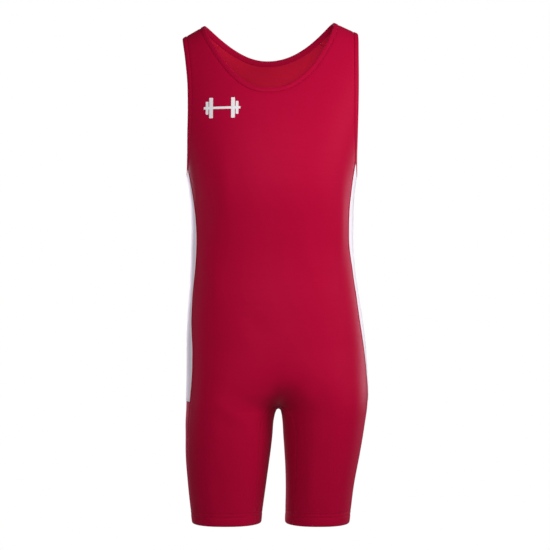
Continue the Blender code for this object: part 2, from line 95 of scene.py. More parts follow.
world = bpy.data.worlds.new("white_studio")
bpy.context.scene.world = world
world.use_nodes = True
sky = world.node_tree.nodes["Background"]
seen = world.node_tree.nodes.new("ShaderNodeBackground")
seen.inputs["Color"].default_value = (*PLAIN, 1.0)
sky.inputs["Color"].default_value = (*COOL, 1.0)
sky.inputs["Strength"].default_value = AMBIENT
rays = world.node_tree.nodes.new("ShaderNodeLightPath")
choose = world.node_tree.nodes.new("ShaderNodeMixShader")
world.node_tree.links.new(rays.outputs["Is Camera Ray"], choose.inputs[0])
world.node_tree.links.new(sky.outputs[0], choose.inputs[1])
world.node_tree.links.new(seen.outputs[0], choose.inputs[2])
world.node_tree.links.new(choose.outputs[0], world.node_tree.nodes["World Output"].inputs["Surface"])
bpy.context.scene.view_settings.view_transform = "Standard"

turns_round = np.linspace(0, 2 * np.pi, FLOOR_SIDES, endpoint=False)
floor_mesh = bpy.data.meshes.new("floor")
floor_mesh.from_pydata(
    [(FLOOR_RADIUS * np.cos(turn), FLOOR_RADIUS * np.sin(turn), FLOOR_HEIGHT) for turn in turns_round],
    [], [tuple(range(FLOOR_SIDES))])
floor = bpy.data.objects.new("floor", floor_mesh)
bpy.context.scene.collection.objects.link(floor)
paint = bpy.data.materials.new("pale_floor")
paint.use_nodes = True
paint_shader = paint.node_tree.nodes["Principled BSDF"]
paint_shader.inputs["Base Color"].default_value = FLOOR_COLOUR
paint_shader.inputs["Roughness"].default_value = FLOOR_ROUGHNESS
floor_mesh.materials.append(paint)

# Front panel.
# One piece of crimson warp-knit stretch cloth with a satin face, cut from the shoulder seams behind the
# ridge down both legs, with its hems turned up inside. Its shape is the worn form that all pieces share.
CLOTH = 0.0012
HEM_CLOTH = 0.0023
HEM_DEPTH = 0.022
SEAM_GAP = 0.0003
HEM_HEIGHT = -0.9235
BAND_END = -0.695
CROTCH_HEIGHT = -0.7116
CHEST_HEIGHT = -0.290
HEM_FOLD = HEM_HEIGHT + HEM_DEPTH
RIDGE_TOP = 0.0866
RIDGE_FALL = 0.1185
RIDGE_EASE = 0.35
RIDGE_TILT = 0.0056
SHOULDER_RUN = 0.340
RIDGE_RUN = CHEST_HEIGHT + SHOULDER_RUN
SHOULDER_SEAM_RUN = RIDGE_RUN + 0.110
ROUND = 2.4
EASE = 0.10
BODY_COLUMNS = ("height", "centre", "left", "right", "front", "back")
BODY_ROWS = (
    (0.070, -0.0066, 0.2220, 0.2240, 0.078, 0.085),
    (0.000, -0.0066, 0.2170, 0.2220, 0.080, 0.087),
    (-0.050, -0.0066, 0.1984, 0.2127, 0.086, 0.091),
    (-0.100, -0.0066, 0.1830, 0.2033, 0.095, 0.096),
    (-0.150, -0.0050, 0.1750, 0.1912, 0.104, 0.101),
    (-0.200, -0.0025, 0.1700, 0.1775, 0.112, 0.105),
    (-0.250, -0.0003, 0.1635, 0.1640, 0.117, 0.108),
    (-0.297, 0.0008, 0.1570, 0.1545, 0.118, 0.107),
    (-0.327, 0.0004, 0.1533, 0.1520, 0.115, 0.103),
    (-0.372, 0.0000, 0.1510, 0.1515, 0.107, 0.093),
    (-0.417, 0.0000, 0.1519, 0.1520, 0.100, 0.084),
    (-0.462, 0.0011, 0.1540, 0.1555, 0.098, 0.083),
    (-0.508, 0.0030, 0.1587, 0.1605, 0.100, 0.091),
    (-0.553, 0.0056, 0.1641, 0.1645, 0.102, 0.105),
    (-0.598, 0.0081, 0.1675, 0.1673, 0.104, 0.114),
    (-0.643, 0.0109, 0.1703, 0.1673, 0.103, 0.119),
    (-0.688, 0.0130, 0.1734, 0.1665, 0.099, 0.114),
    (-0.712, 0.0122, 0.1732, 0.1656, 0.097, 0.107),
    (-0.733, 0.0115, 0.1736, 0.1632, 0.095, 0.100),
    (-0.763, 0.0114, 0.1735, 0.1587, 0.092, 0.092),
    (-0.793, 0.0110, 0.1731, 0.1539, 0.088, 0.086),
    (-0.853, 0.0085, 0.1662, 0.1452, 0.080, 0.078),
    (-0.914, 0.0036, 0.1548, 0.1426, 0.072, 0.071),
    (-0.930, 0.0026, 0.1521, 0.1418, 0.070, 0.070),
)
FORK_COLUMNS = ("height", "split")


def split_by(gap):
    """Split of two legs whose gap is this share of the hips' width."""
    return np.sqrt((gap ** 2 + EASE ** 2) / (1 + EASE ** 2))


FORK_ROWS = (
    (0.070, -1.0),
    (-0.560, -1.0),
    (-0.590, -1.0),
    (-0.640, -0.5),
    (-0.680, -0.08),
    (-0.700, 0.065),
    (CROTCH_HEIGHT, split_by(0.0)),
    (-0.718, split_by(0.030)),
    (-0.733, split_by(0.048)),
    (-0.763, split_by(0.062)),
    (-0.793, split_by(0.080)),
    (-0.823, split_by(0.100)),
    (-0.853, split_by(0.118)),
    (-0.884, split_by(0.134)),
    (-0.914, split_by(0.147)),
    (-0.930, split_by(0.151)),
)
SIDE_COLUMNS = ("height", "left_front", "left_back", "right_front", "right_back")
SIDE_ROWS = (
    (-0.200, 0.038, 0.038, 0.052, 0.032),
    (-0.260, 0.042, 0.038, 0.051, 0.033),
    (-0.300, 0.048, 0.038, 0.050, 0.035),
    (-0.350, 0.053, 0.037, 0.051, 0.037),
    (-0.400, 0.053, 0.036, 0.047, 0.039),
    (-0.440, 0.049, 0.036, 0.039, 0.040),
    (-0.490, 0.043, 0.038, 0.037, 0.042),
    (-0.540, 0.045, 0.040, 0.039, 0.046),
    (-0.600, 0.053, 0.040, 0.035, 0.050),
    (-0.640, 0.057, 0.039, 0.030, 0.053),
    (-0.695, 0.057, 0.037, 0.021, 0.055),
    (-0.760, 0.046, 0.038, 0.019, 0.050),
    (-0.830, 0.032, 0.038, 0.019, 0.045),
    (-0.930, 0.026, 0.036, 0.019, 0.040),
)
STRAP_OUTER_STEP = 0.513
UNDERARM_RUN = -0.2834
ARMHOLE_SPREAD = {"front": 1.8, "back": 1.5}
NECK_STEP = 0.398
NECK_FRONT_RUN = -0.180
NECK_BACK_RUN = 0.2245
NECK_ROUND = {"front": 2.18, "back": 2.00}
GUSSET_HALF = 0.0340
GUSSET_SPANS = 200
ARCH_FOOT = -0.755
ARCH_TOP = -0.7045
NUDGE = 0.0001
MERGE = 1e-7
SETTLINGS = 3
HALVINGS = 40


def as_table(names, rows):
    """Columns of a section table by name, in order of height."""
    return {name: np.array(values) for name, values in zip(names, zip(*sorted(rows)))}


BODY = as_table(BODY_COLUMNS, BODY_ROWS)
FORK = as_table(FORK_COLUMNS, FORK_ROWS)
FORK_START = split_by(0.0)
SIDE = as_table(SIDE_COLUMNS, SIDE_ROWS)


def smooth(table, name, height):
    """A column read at any height, along a curve that is smooth through the rows."""
    knots = table["height"]
    values = table[name]
    slopes = np.gradient(values, knots)
    height = np.clip(height, knots[0], knots[-1])
    low = np.clip(np.searchsorted(knots, height) - 1, 0, len(knots) - 2)
    span = knots[low + 1] - knots[low]
    part = (height - knots[low]) / span
    rise = values[low + 1] - values[low]
    start = slopes[low] * span
    end = slopes[low + 1] * span
    bend = 3 * rise - 2 * start - end
    return values[low] + part * (start + part * (bend + part * (start + end - 2 * rise)))


def shrink(share):
    """The height of a rounded square section, 1 in its middle and 0 at its edge."""
    return np.maximum(1 - share ** ROUND, 0) ** (1 / ROUND)


def lobes(height):
    """Inner edge, middle and reach of a leg's section, as shares of the half width."""
    split = np.clip(smooth(FORK, "split", height), -1, 1)
    inner = np.sqrt(np.maximum(np.maximum(split, 0) ** 2 * (1 + EASE ** 2) - EASE ** 2, 0))
    return inner, (1 + split) / 2, (1 - split) / 2


def off_lobe(share, height):
    """0 on the middle of a section and 1 on its edge."""
    _, middle, reach = lobes(height)
    eased = np.sqrt((share ** 2 + EASE ** 2) / (1 + EASE ** 2))
    return np.abs(eased - middle) / reach


def turn_start(height):
    """The angle round the section at which step 0 lies."""
    _, middle, reach = lobes(height)
    return np.arcsin(np.clip((FORK_START - middle) / reach, -1, 0))


def share_at(step, height):
    """Share of the half width at a step, the steps evenly spaced round the section."""
    inner, _, _ = lobes(height)
    start = turn_start(height)
    turn = start + (np.pi / 2 - start) * step
    return inner + (1 - inner) * (np.sin(turn) - np.sin(start)) / (1 - np.sin(start))


def step_at(share, height):
    """The step at a share of the half width, the inverse of share_at."""
    inner, _, _ = lobes(height)
    start = turn_start(height)
    rise = np.clip((share - inner) / (1 - inner), 0, 1)
    turn = np.arcsin(np.sin(start) + rise * (1 - np.sin(start)))
    return (turn - start) / (np.pi / 2 - start)


def half_width(side, height):
    """Half width of the worn form, on the left or the right of the centre line."""
    return np.where(side < 0, smooth(BODY, "left", height), smooth(BODY, "right", height))


def ridge_height(share, side):
    """Height of the shoulder ridge at a share of the half width."""
    return RIDGE_TOP - RIDGE_FALL * np.sqrt(share ** 2 + RIDGE_EASE ** 2) + RIDGE_TILT * side * share


def body_points(step, run):
    """Points of the cloth's outer face at chart places."""
    step = np.asarray(step, float)
    run = np.asarray(run, float)
    side = np.where(np.signbit(step), -1.0, 1.0)
    front = run <= RIDGE_RUN
    local = np.where(front, run, 2 * RIDGE_RUN - run)
    low = np.minimum(local, CHEST_HEIGHT)
    share = share_at(np.abs(step), low)
    climb = np.sin(np.pi / 2 * np.clip((local - CHEST_HEIGHT) / SHOULDER_RUN, 0, 1))
    height = low + (ridge_height(share, side) - CHEST_HEIGHT) * climb
    depth = np.where(front, -smooth(BODY, "front", height), smooth(BODY, "back", height))
    across = smooth(BODY, "centre", height) + side * share * half_width(side, height)
    return np.stack([across, depth * shrink(off_lobe(share, low)) * shrink(climb), height], axis=-1)


def outside(points):
    """0 on the cloth's outer face, more outside it and less inside."""
    across, forward, height = np.moveaxis(points, -1, 0)
    offset = across - smooth(BODY, "centre", height)
    side = np.where(offset < 0, -1.0, 1.0)
    share = np.abs(offset) / half_width(side, height)
    climb = np.maximum((height - CHEST_HEIGHT) / (ridge_height(share, side) - CHEST_HEIGHT), 0)
    depth = np.where(forward < 0, smooth(BODY, "front", height), smooth(BODY, "back", height))
    flat = (1 - off_lobe(share, height) ** ROUND) * (1 - climb ** ROUND)
    return (np.abs(forward) / depth) ** ROUND - flat


def gradient(points):
    """Slope of outside() at each point."""
    slopes = np.empty_like(points)
    for axis in range(3):
        shift = np.zeros(3)
        shift[axis] = NUDGE
        slopes[..., axis] = (outside(points + shift) - outside(points - shift)) / (2 * NUDGE)
    return slopes


def unit(vectors):
    """Vectors at length 1."""
    return vectors / np.linalg.norm(vectors, axis=-1, keepdims=True)


def normals(points):
    """Outward normals of the worn form."""
    return unit(gradient(points))


def settle(points):
    """Points moved straight onto the worn form."""
    for _ in range(SETTLINGS):
        slopes = gradient(points)
        points = points - (outside(points) / np.sum(slopes ** 2, axis=-1))[..., None] * slopes
    return points


def armhole_seam(turn):
    """Chart place of the armhole seam: turn 0 under the arm, 1 on the ridge, 2 under the arm again."""
    turn = np.asarray(turn, float)
    climb = np.minimum(turn, 2 - turn)
    spread = np.where(turn <= 1, ARMHOLE_SPREAD["front"], ARMHOLE_SPREAD["back"])
    step = STRAP_OUTER_STEP + (1 - STRAP_OUTER_STEP) * (1 - climb) ** spread
    local = UNDERARM_RUN + (RIDGE_RUN - UNDERARM_RUN) * climb ** 2
    return step, np.where(turn <= 1, local, 2 * RIDGE_RUN - local)


def neck_seam(turn):
    """Chart place of the neck seam, an oval: turn 0 at the right, pi / 2 at the middle of the back."""
    middle = (NECK_BACK_RUN + NECK_FRONT_RUN) / 2
    half = (NECK_BACK_RUN - NECK_FRONT_RUN) / 2
    power = 2 / np.where(np.sin(turn) > 0, NECK_ROUND["back"], NECK_ROUND["front"])
    across = np.sign(np.cos(turn)) * np.abs(np.cos(turn)) ** power
    along = np.sign(np.sin(turn)) * np.abs(np.sin(turn)) ** power
    return NECK_STEP * across, middle + half * along


def side_step(name, place, local):
    """Step of a line on a side panel: place -1 is its front seam, 0 the side line, 1 its back seam."""
    face = "front" if place < 0 else "back"
    depth = smooth(SIDE, name + "_" + face, local) * abs(place)
    low = np.minimum(local, CHEST_HEIGHT)
    _, middle, reach = lobes(low)
    eased = middle + reach * shrink(depth / smooth(BODY, face, local))
    share = np.sqrt(np.maximum(eased ** 2 * (1 + EASE ** 2) - EASE ** 2, 0))
    return step_at(share, low)


def solve(function, low, high):
    """Where a falling function is 0, by halving."""
    for _ in range(HALVINGS):
        middle = (low + high) / 2
        if function(middle) > 0:
            low = middle
        else:
            high = middle
    return (low + high) / 2


def side_top_turn(name, place):
    """Turn at which a side panel's line meets the armhole seam."""
    if place == 0:
        return 0.0

    def ahead(climb):
        turn = climb if place < 0 else 2 - climb
        step, run = armhole_seam(turn)
        local = run if place < 0 else 2 * RIDGE_RUN - run
        return step - side_step(name, place, local)

    climb = solve(ahead, 0.0, 1.0)
    return climb if place < 0 else 2 - climb


def mirrored(local, place):
    """Run of a local height on the front (place below or at 0) or on the back."""
    return local if place <= 0 else 2 * RIDGE_RUN - local


EDGE_SPACING = 0.004
DENSE = 400
SPACING = 0.0062
STEP_LENGTH = 0.25
ROW_SPACING = 0.866 * SPACING
LATTICE_CLEARANCE = 0.4 * SPACING
RING_KEPT = 0.9
POINTS_AT_ONCE = 1000
NEEDLE_ROWS = (HEM_HEIGHT + 0.0170, HEM_HEIGHT + 0.0235)
HEM_LEVELS = HEM_HEIGHT + np.array([
    0.0, 0.0005, 0.0012, 0.0024, 0.0045, 0.0080, 0.0115, 0.0145, 0.0162, 0.0170, 0.0178, 0.0192,
    0.0206, 0.0217, 0.0222, 0.0229, 0.0235, 0.0241, 0.0255])
SEAM_RINGS = (0.0007, 0.0018, 0.0042)
MITRE_LEAST = 0.3
SHARP_ANGLE = 50


def lengths(points):
    """Length along a line of points, from its first."""
    return np.concatenate([[0.0], np.cumsum(np.linalg.norm(np.diff(points, axis=0), axis=1))])


def spaced(line, gap=EDGE_SPACING):
    """A chart line with its points set evenly along the cloth."""
    along = lengths(body_points(*line))
    places = np.linspace(0, along[-1], max(int(round(along[-1] / gap)), 1) + 1)
    return np.interp(places, along, line[0]), np.interp(places, along, line[1])


def down_leg(steps, levels, place):
    """A line down a leg, spaced evenly as far as the hem and there with a point on each hem level."""
    above = np.interp(np.linspace(0, 1, DENSE), np.linspace(0, 1, len(levels)), levels)
    above = above[above > HEM_LEVELS[-1]]
    along = np.interp(-above, -levels, steps)
    upper = spaced((along, above))
    local = np.concatenate([upper[1], HEM_LEVELS[::-1]])
    steps = np.concatenate([upper[0], np.interp(-HEM_LEVELS[::-1], -levels, steps)])
    return steps, mirrored(local, place)


def side_seam(name, place):
    """Chart line down a side panel, from the armhole seam to the hem; place -1 is its front seam."""
    _, top = armhole_seam(side_top_turn(name, place))
    levels = np.linspace(mirrored(float(top), place), HEM_HEIGHT, DENSE)
    sign = -1 if name == "left" else 1
    return down_leg(sign * side_step(name, place, levels), levels, place)


def gusset_seam(side, place):
    """Chart line of a gusset seam, from the top of its arch to a hem."""
    legs = np.linspace(ARCH_FOOT, HEM_HEIGHT, GUSSET_SPANS + 1)[1:]
    angles = np.linspace(np.pi / 2, 0, GUSSET_SPANS + 1)
    offsets = np.concatenate([GUSSET_HALF * np.cos(angles), np.full(len(legs), GUSSET_HALF)])
    seams = np.concatenate([ARCH_FOOT + (ARCH_TOP - ARCH_FOOT) * np.sin(angles), legs])
    return down_leg(side * step_at(offsets / half_width(side, seams), seams), seams, place)


def armhole_line(name, turns):
    """Chart line along an armhole seam."""
    step, run = armhole_seam(turns)
    return (-1 if name == "left" else 1) * step, run


def backwards(line):
    """A chart line from its other end."""
    return line[0][::-1], line[1][::-1]


def straight(start, end):
    """A straight chart line from the end of one line to the start of another."""
    part = np.linspace(0, 1, DENSE)
    return spaced(tuple(start[axis][-1] + (end[axis][0] - start[axis][-1]) * part for axis in (0, 1)))


SHOULDER_LOCAL = 2 * RIDGE_RUN - SHOULDER_SEAM_RUN
SHOULDER_TURN = 2 - np.sqrt((SHOULDER_LOCAL - UNDERARM_RUN) / (RIDGE_RUN - UNDERARM_RUN))
NECK_HALF = (NECK_BACK_RUN - NECK_FRONT_RUN) / 2
NECK_LIFT = (SHOULDER_SEAM_RUN - (NECK_BACK_RUN + NECK_FRONT_RUN) / 2) / NECK_HALF
NECK_TURN = np.arcsin(NECK_LIFT ** (NECK_ROUND["back"] / 2))


def panel_outline(face):
    """Closed chart outline of the front or the back panel, and which of its points lie on a seam."""
    place = -1 if face == "front" else 1
    left, right = (side_seam(name, place) for name in ("left", "right"))
    strap_left, strap_right = (
        spaced(armhole_line(name, np.linspace(side_top_turn(name, place), SHOULDER_TURN, DENSE)))
        for name in ("left", "right"))
    last = 2 * np.pi + NECK_TURN if face == "front" else NECK_TURN
    neck = spaced(neck_seam(np.linspace(np.pi - NECK_TURN, last, DENSE)))
    inner_left, inner_right = (gusset_seam(side, place) for side in (-1, 1))
    lines = (
        backwards(left), strap_left, straight(strap_left, neck), neck,
        straight(neck, backwards(strap_right)), backwards(strap_right), right,
        straight(right, backwards(inner_right)), backwards(inner_right), inner_left,
        straight(inner_left, backwards(left)))
    seamed = [len(line[0]) - 1 for line in lines]
    on_seam = np.ones(sum(seamed), bool)
    ends = np.cumsum(seamed)
    on_seam[ends[6]:ends[7]] = False
    on_seam[ends[9]:] = False
    return np.concatenate([np.stack(line, axis=-1)[:-1] for line in lines]), on_seam


def seam_gap(outline, on_seam, points):
    """Distance of points to the seams of a closed flat outline, below 0 for points outside it."""
    edge = np.roll(outline, -1, axis=0) - outline
    gaps = np.empty(len(points))
    for part in np.array_split(np.arange(len(points)), len(points) // POINTS_AT_ONCE + 1):
        toward = points[part][:, None, :] - outline[None]
        share = np.clip(np.sum(toward * edge, axis=-1) / np.sum(edge ** 2, axis=-1), 0, 1)
        gap = np.linalg.norm(toward - share[..., None] * edge, axis=-1)[:, on_seam].min(axis=1)
        height = points[part][:, None, 1]
        crossed = (outline[:, 1] > height) != (outline[:, 1] + edge[:, 1] > height)
        rise = np.where(edge[:, 1] == 0, 1, edge[:, 1])
        beside = points[part][:, None, 0] < outline[:, 0] + toward[..., 1] / rise * edge[:, 0]
        gaps[part] = np.where(np.sum(crossed & beside, axis=1) % 2 == 1, gap, -gap)
    return gaps


def panel_mesh(face):
    """Chart places, triangles and seam distances of a panel, cut along its outline."""
    place = -1 if face == "front" else 1
    scale = np.array([STEP_LENGTH, 1.0])
    outline, on_seam = panel_outline(face)
    outline = outline * scale
    way = unit(np.roll(outline, -1, axis=0) - np.roll(outline, 1, axis=0))
    inward = np.stack([way[:, 1], -way[:, 0]], axis=-1) * (1 if face == "front" else -1)
    rings = []
    for depth in SEAM_RINGS:
        ring = (outline + inward * depth)[on_seam]
        rings.append(ring[seam_gap(outline, on_seam, ring) > RING_KEPT * depth])
    rows = np.arange(HEM_LEVELS[-1] + SPACING / 2, SHOULDER_SEAM_RUN + SPACING, ROW_SPACING)
    levels = mirrored(np.concatenate([HEM_LEVELS[1:], rows]), place)
    reach = int(np.ceil(STEP_LENGTH / SPACING))
    lattice = []
    for index, run in enumerate(levels):
        shift = 0.5 if index >= len(HEM_LEVELS) and index % 2 else 0.0
        across = (np.arange(-reach, reach + 1) + shift) * SPACING
        lattice.append(np.stack([across, np.full(len(across), run)], axis=-1))
    lattice = np.concatenate(lattice)
    lattice = lattice[seam_gap(outline, on_seam, lattice) > SEAM_RINGS[-1] + LATTICE_CLEARANCE]
    places = np.concatenate([outline, *rings, lattice])
    count = len(outline)
    edges = [(index, (index + 1) % count) for index in range(count)]
    result = delaunay_2d_cdt([Vector(place) for place in places], edges, [], 1, MERGE)
    places = places[[origins[0] for origins in result[3]]]
    gaps = np.maximum(seam_gap(outline, on_seam, places), 0)
    return places, np.array([tuple(triangle) for triangle in result[2]]), gaps


def turned_out(points, directions, triangles):
    """Triangles that face the way of the outward directions."""
    first, second, third = (points[triangles[:, corner]] for corner in range(3))
    facing = np.sum(np.cross(second - first, third - first) * directions[triangles[:, 0]])
    return triangles if facing > 0 else triangles[:, ::-1]


def rim(triangles):
    """Edges that only one triangle has, in its direction."""
    edges = {}
    for triangle in triangles:
        for start, end in zip(triangle, np.roll(triangle, -1)):
            edges[(int(start), int(end))] = True
    return [edge for edge in edges if (edge[1], edge[0]) not in edges]


def parted(points, directions, edges):
    """Points with the rim drawn in along the cloth by half a seam gap."""
    inward = {}
    for start, end in edges:
        draw = unit(np.cross(directions[start] + directions[end], points[end] - points[start]))
        inward.setdefault(start, []).append(draw)
        inward.setdefault(end, []).append(draw)
    moved = points.copy()
    for index, (one, other) in inward.items():
        moved[index] += SEAM_GAP / 2 * (one + other) / max(1 + np.dot(one, other), MITRE_LEAST)
    return moved


SEAM_DIP = 0.00065
SEAM_DIP_WIDTH = 0.0012
WELT_RISE = 0.0002
WELT_REACH = 0.0036
WELT_WIDTH = 0.0014
NEEDLE_DIP = 0.00042
NEEDLE_WIDTH = 0.0011
FOLD_DIP = 0.00055
FOLD_THINNING = 0.0006
FOLD_WIDTH = 0.0007
PUFF_RISE = 0.0003
PUFF_END = 0.017


def relief(height, gap):
    """How far the outer face stands off the form: in at seams, needle rows and folds, out between them."""
    seam = -SEAM_DIP * np.exp(-gap / SEAM_DIP_WIDTH)
    welt = WELT_RISE * np.exp(-((gap - WELT_REACH) / WELT_WIDTH) ** 2)
    needles = sum(-NEEDLE_DIP * np.exp(-((height - row) / NEEDLE_WIDTH) ** 2) for row in NEEDLE_ROWS)
    above = height - HEM_HEIGHT
    fold = -FOLD_DIP * np.exp(-above / FOLD_WIDTH)
    puff = PUFF_RISE * np.sin(np.pi * np.clip(above / PUFF_END, 0, 1))
    return seam + welt + needles + fold + puff


CREASE_EASE = 0.010
CREASE_COLUMNS = ("across", "height", "turn", "half_length", "half_width", "rise")
CREASES = {
    "front": (
        (-0.0865, -0.295, -6, 0.070, 0.018, 0.0019),
        (-0.1200, -0.360, 4, 0.036, 0.014, -0.0016),
        (-0.1050, -0.478, 0, 0.034, 0.016, 0.0015),
        (-0.0300, -0.552, -41, 0.034, 0.018, -0.0010),
        (-0.0720, -0.716, -53, 0.042, 0.012, 0.0014),
        (-0.0500, -0.690, -60, 0.030, 0.010, -0.0009),
        (0.0360, -0.676, 38, 0.026, 0.009, -0.0016),
        (0.0560, -0.700, 30, 0.034, 0.009, 0.0011),
        (0.1120, -0.668, 12, 0.034, 0.012, 0.0011),
        (0.0700, -0.838, 2, 0.052, 0.010, 0.0011),
        (-0.1000, -0.850, -4, 0.040, 0.012, -0.0009),
        (0.1270, -0.366, 2, 0.080, 0.008, 0.0011),
        (0.0860, -0.206, 74, 0.024, 0.009, -0.0009),
        (0.0840, -0.340, 10, 0.028, 0.014, -0.0011),
        (0.0640, -0.424, -12, 0.036, 0.014, 0.0011),
        (0.1080, -0.552, 6, 0.030, 0.011, -0.0011),
    ),
    "back": (
        (-0.0900, -0.240, 24, 0.050, 0.013, -0.0014),
        (0.0920, -0.250, -20, 0.044, 0.012, -0.0014),
        (0.0050, -0.330, 2, 0.080, 0.012, -0.0014),
        (-0.0500, -0.418, 82, 0.045, 0.010, 0.0016),
        (0.0420, -0.430, -84, 0.038, 0.009, 0.0014),
        (-0.0050, -0.452, 88, 0.050, 0.010, -0.0014),
        (0.0900, -0.462, 74, 0.026, 0.009, -0.0011),
        (-0.0640, -0.690, 58, 0.044, 0.010, -0.0016),
        (0.0700, -0.686, -56, 0.046, 0.010, -0.0016),
        (-0.0780, -0.712, 62, 0.036, 0.009, 0.0011),
        (0.0760, -0.710, -66, 0.030, 0.008, 0.0011),
        (-0.0940, -0.810, 4, 0.046, 0.012, -0.0009),
        (0.0960, -0.830, -6, 0.040, 0.011, -0.0009),
    ),
}


def creases(face, points, gaps):
    """Rise of the cloth at the soft ridges and troughs of a panel, fading out at seams and hems."""
    rise = np.zeros(len(points))
    for row in CREASES[face]:
        crease = dict(zip(CREASE_COLUMNS, row))
        turn = np.radians(crease["turn"])
        right = points[:, 0] - crease["across"]
        up = points[:, 2] - crease["height"]
        along = (up * np.cos(turn) + right * np.sin(turn)) / crease["half_length"]
        beside = (right * np.cos(turn) - up * np.sin(turn)) / crease["half_width"]
        rise += crease["rise"] * np.exp(-along ** 2 - beside ** 2)
    room = np.minimum(gaps, np.maximum(points[:, 2] - HEM_LEVELS[-1], 0))
    return rise * (1 - np.exp(-(room / CREASE_EASE) ** 2))


def hem_thickness(height):
    """Wall thickness: double where the hem is turned up, thinner at the fold itself."""
    doubled = np.where(height < HEM_FOLD, HEM_CLOTH, CLOTH)
    return doubled - FOLD_THINNING * np.exp(-(height - HEM_HEIGHT) / FOLD_WIDTH)


def walled(triangles, edges, count):
    """Faces of a closed wall: triangles outside, the same turned round inside, strips round their rim."""
    strips = []
    for start, end in edges:
        strips += [(end, start, start + count), (end, start + count, end + count)]
    return np.concatenate([triangles, triangles[:, ::-1] + count, np.array(strips)])


def made(name, points, faces, finishes):
    """An object of points and faces, in its finishes."""
    mesh = bpy.data.meshes.new(name)
    mesh.from_pydata(points.tolist(), [], faces)
    for finish in finishes:
        mesh.materials.append(finish)
    item = bpy.data.objects.new(name, mesh)
    bpy.context.scene.collection.objects.link(item)
    return item


def planned(item, plan):
    """Give an object's face corners their places on the flat cloth."""
    layer = item.data.uv_layers.new(name="cloth")
    layer.data.foreach_set("uv", plan.astype(np.float32).ravel())


def rounded(item):
    """Shade an object smooth, but for its sharp edges."""
    item.data.shade_smooth()
    item.data.set_sharp_from_angle(angle=np.radians(SHARP_ANGLE))


def cloth_shell(name, points, triangles, out_by, in_by, plan, finishes):
    """A closed thin wall round the given points of the form, its outer and inner faces in two finishes."""
    directions = normals(points)
    triangles = turned_out(points, directions, triangles)
    edges = rim(triangles)
    points = parted(points, directions, edges)
    count = len(points)
    outer = points + directions * np.reshape(out_by, (-1, 1))
    inner = points - directions * np.reshape(in_by, (-1, 1))
    faces = walled(triangles, edges, count)
    item = made(name, np.concatenate([outer, inner]), faces.tolist(), finishes)
    rounded(item)
    planned(item, plan[faces.ravel() % count])
    inside = np.zeros(len(faces), np.int32)
    inside[len(triangles):2 * len(triangles)] = len(finishes) - 1
    item.data.polygons.foreach_set("material_index", inside)
    return item


class Wire:
    """An output of a node; arithmetic on it adds Math nodes."""

    def __init__(self, finish, socket):
        self.finish = finish
        self.socket = socket

    def math(self, operation, first, second=0.0):
        return self.finish.node("ShaderNodeMath", {"operation": operation}, {0: first, 1: second})

    def __add__(self, other):
        return self.math("ADD", self, other)

    __radd__ = __add__

    def __sub__(self, other):
        return self.math("SUBTRACT", self, other)

    def __rsub__(self, other):
        return self.math("SUBTRACT", other, self)

    def __mul__(self, other):
        return self.math("MULTIPLY", self, other)

    __rmul__ = __mul__

    def __truediv__(self, other):
        return self.math("DIVIDE", self, other)

    def __abs__(self):
        return self.math("ABSOLUTE", self)

    def fraction(self):
        return self.math("FRACT", self)

    def sine(self):
        return self.math("SINE", self)


class Finish:
    """A cloth or thread finish, made node by node on a Principled shader."""

    def __init__(self, name, **shader):
        self.material = bpy.data.materials.new(name)
        self.material.use_nodes = True
        self.tree = self.material.node_tree
        self.shader = self.tree.nodes["Principled BSDF"]
        for socket, value in shader.items():
            self.set(self.shader, socket.replace("_", " "), value)

    def set(self, node, socket, value):
        """Give a socket a value, or link a wire to it."""
        if isinstance(value, Wire):
            self.tree.links.new(value.socket, node.inputs[socket])
        else:
            node.inputs[socket].default_value = value

    def node(self, kind, settings, sockets, output=0):
        """Add a node with its settings, then its sockets' values or wires, and give one output as a wire."""
        new = self.tree.nodes.new(kind)
        for name, value in settings.items():
            setattr(new, name, value)
        for socket, value in sockets.items():
            self.set(new, socket, value)
        return Wire(self, new.outputs[output])

    def mixed(self, share, first, second):
        """A colour between two others."""
        return self.node("ShaderNodeMix", {"data_type": "RGBA"}, {0: share, 6: first, 7: second}, 2)


WALE = 0.0011
COURSE = 0.0008
BARS = (14.0, 420.0, 1.0)
CLOUDS = 9.0
KNIT_RELIEF = 0.00003
KNIT_SPECULAR = 0.12
SHEEN_ROUGHNESS = 0.35
ROUGHNESS_CHANGE = 0.10


def knit(name, colour, deep, roughness, sheen, gloss):
    """Fine warp knit: rows of small slanted stitches, faint bars across the cloth, a satin sheen."""
    finish = Finish(
        name, Metallic=0.0, Specular_IOR_Level=KNIT_SPECULAR, Specular_Tint=gloss, Sheen_Weight=sheen,
        Sheen_Roughness=SHEEN_ROUGHNESS, Sheen_Tint=gloss)
    place = finish.node("ShaderNodeUVMap", {"uv_map": "cloth"}, {})
    across = finish.node("ShaderNodeSeparateXYZ", {}, {0: place}, 0)
    along = finish.node("ShaderNodeSeparateXYZ", {}, {0: place}, 1)
    leg = abs((across / WALE).fraction() - 0.5) * 2
    stitch = ((along / COURSE + leg * 0.5) * (2 * np.pi)).sine() * 0.5 + 0.5
    height = (1 - leg * leg) * 0.6 + stitch * 0.4
    stretched = finish.node("ShaderNodeMapping", {}, {"Vector": place, "Scale": BARS})
    bars = finish.node("ShaderNodeTexNoise", {}, {"Vector": stretched, "Scale": 1.0, "Detail": 2.0})
    clouds = finish.node("ShaderNodeTexNoise", {}, {"Vector": place, "Scale": CLOUDS, "Detail": 3.0})
    # The base colour is darker in the grooves between the stitches, which is painted shade. It also varies
    # with the bars and clouds, which are the cloth's own uneven tone.
    groove_shade_and_tone = height * 0.30 + bars * 0.45 + clouds * 0.25
    finish.set(finish.shader, "Base Color", finish.mixed(groove_shade_and_tone, deep, colour))
    finish.set(finish.shader, "Roughness", roughness + (0.5 - bars) * ROUGHNESS_CHANGE)
    bump = finish.node("ShaderNodeBump", {}, {"Strength": 1.0, "Distance": KNIT_RELIEF, "Height": height})
    finish.set(finish.shader, "Normal", bump)
    return finish.material


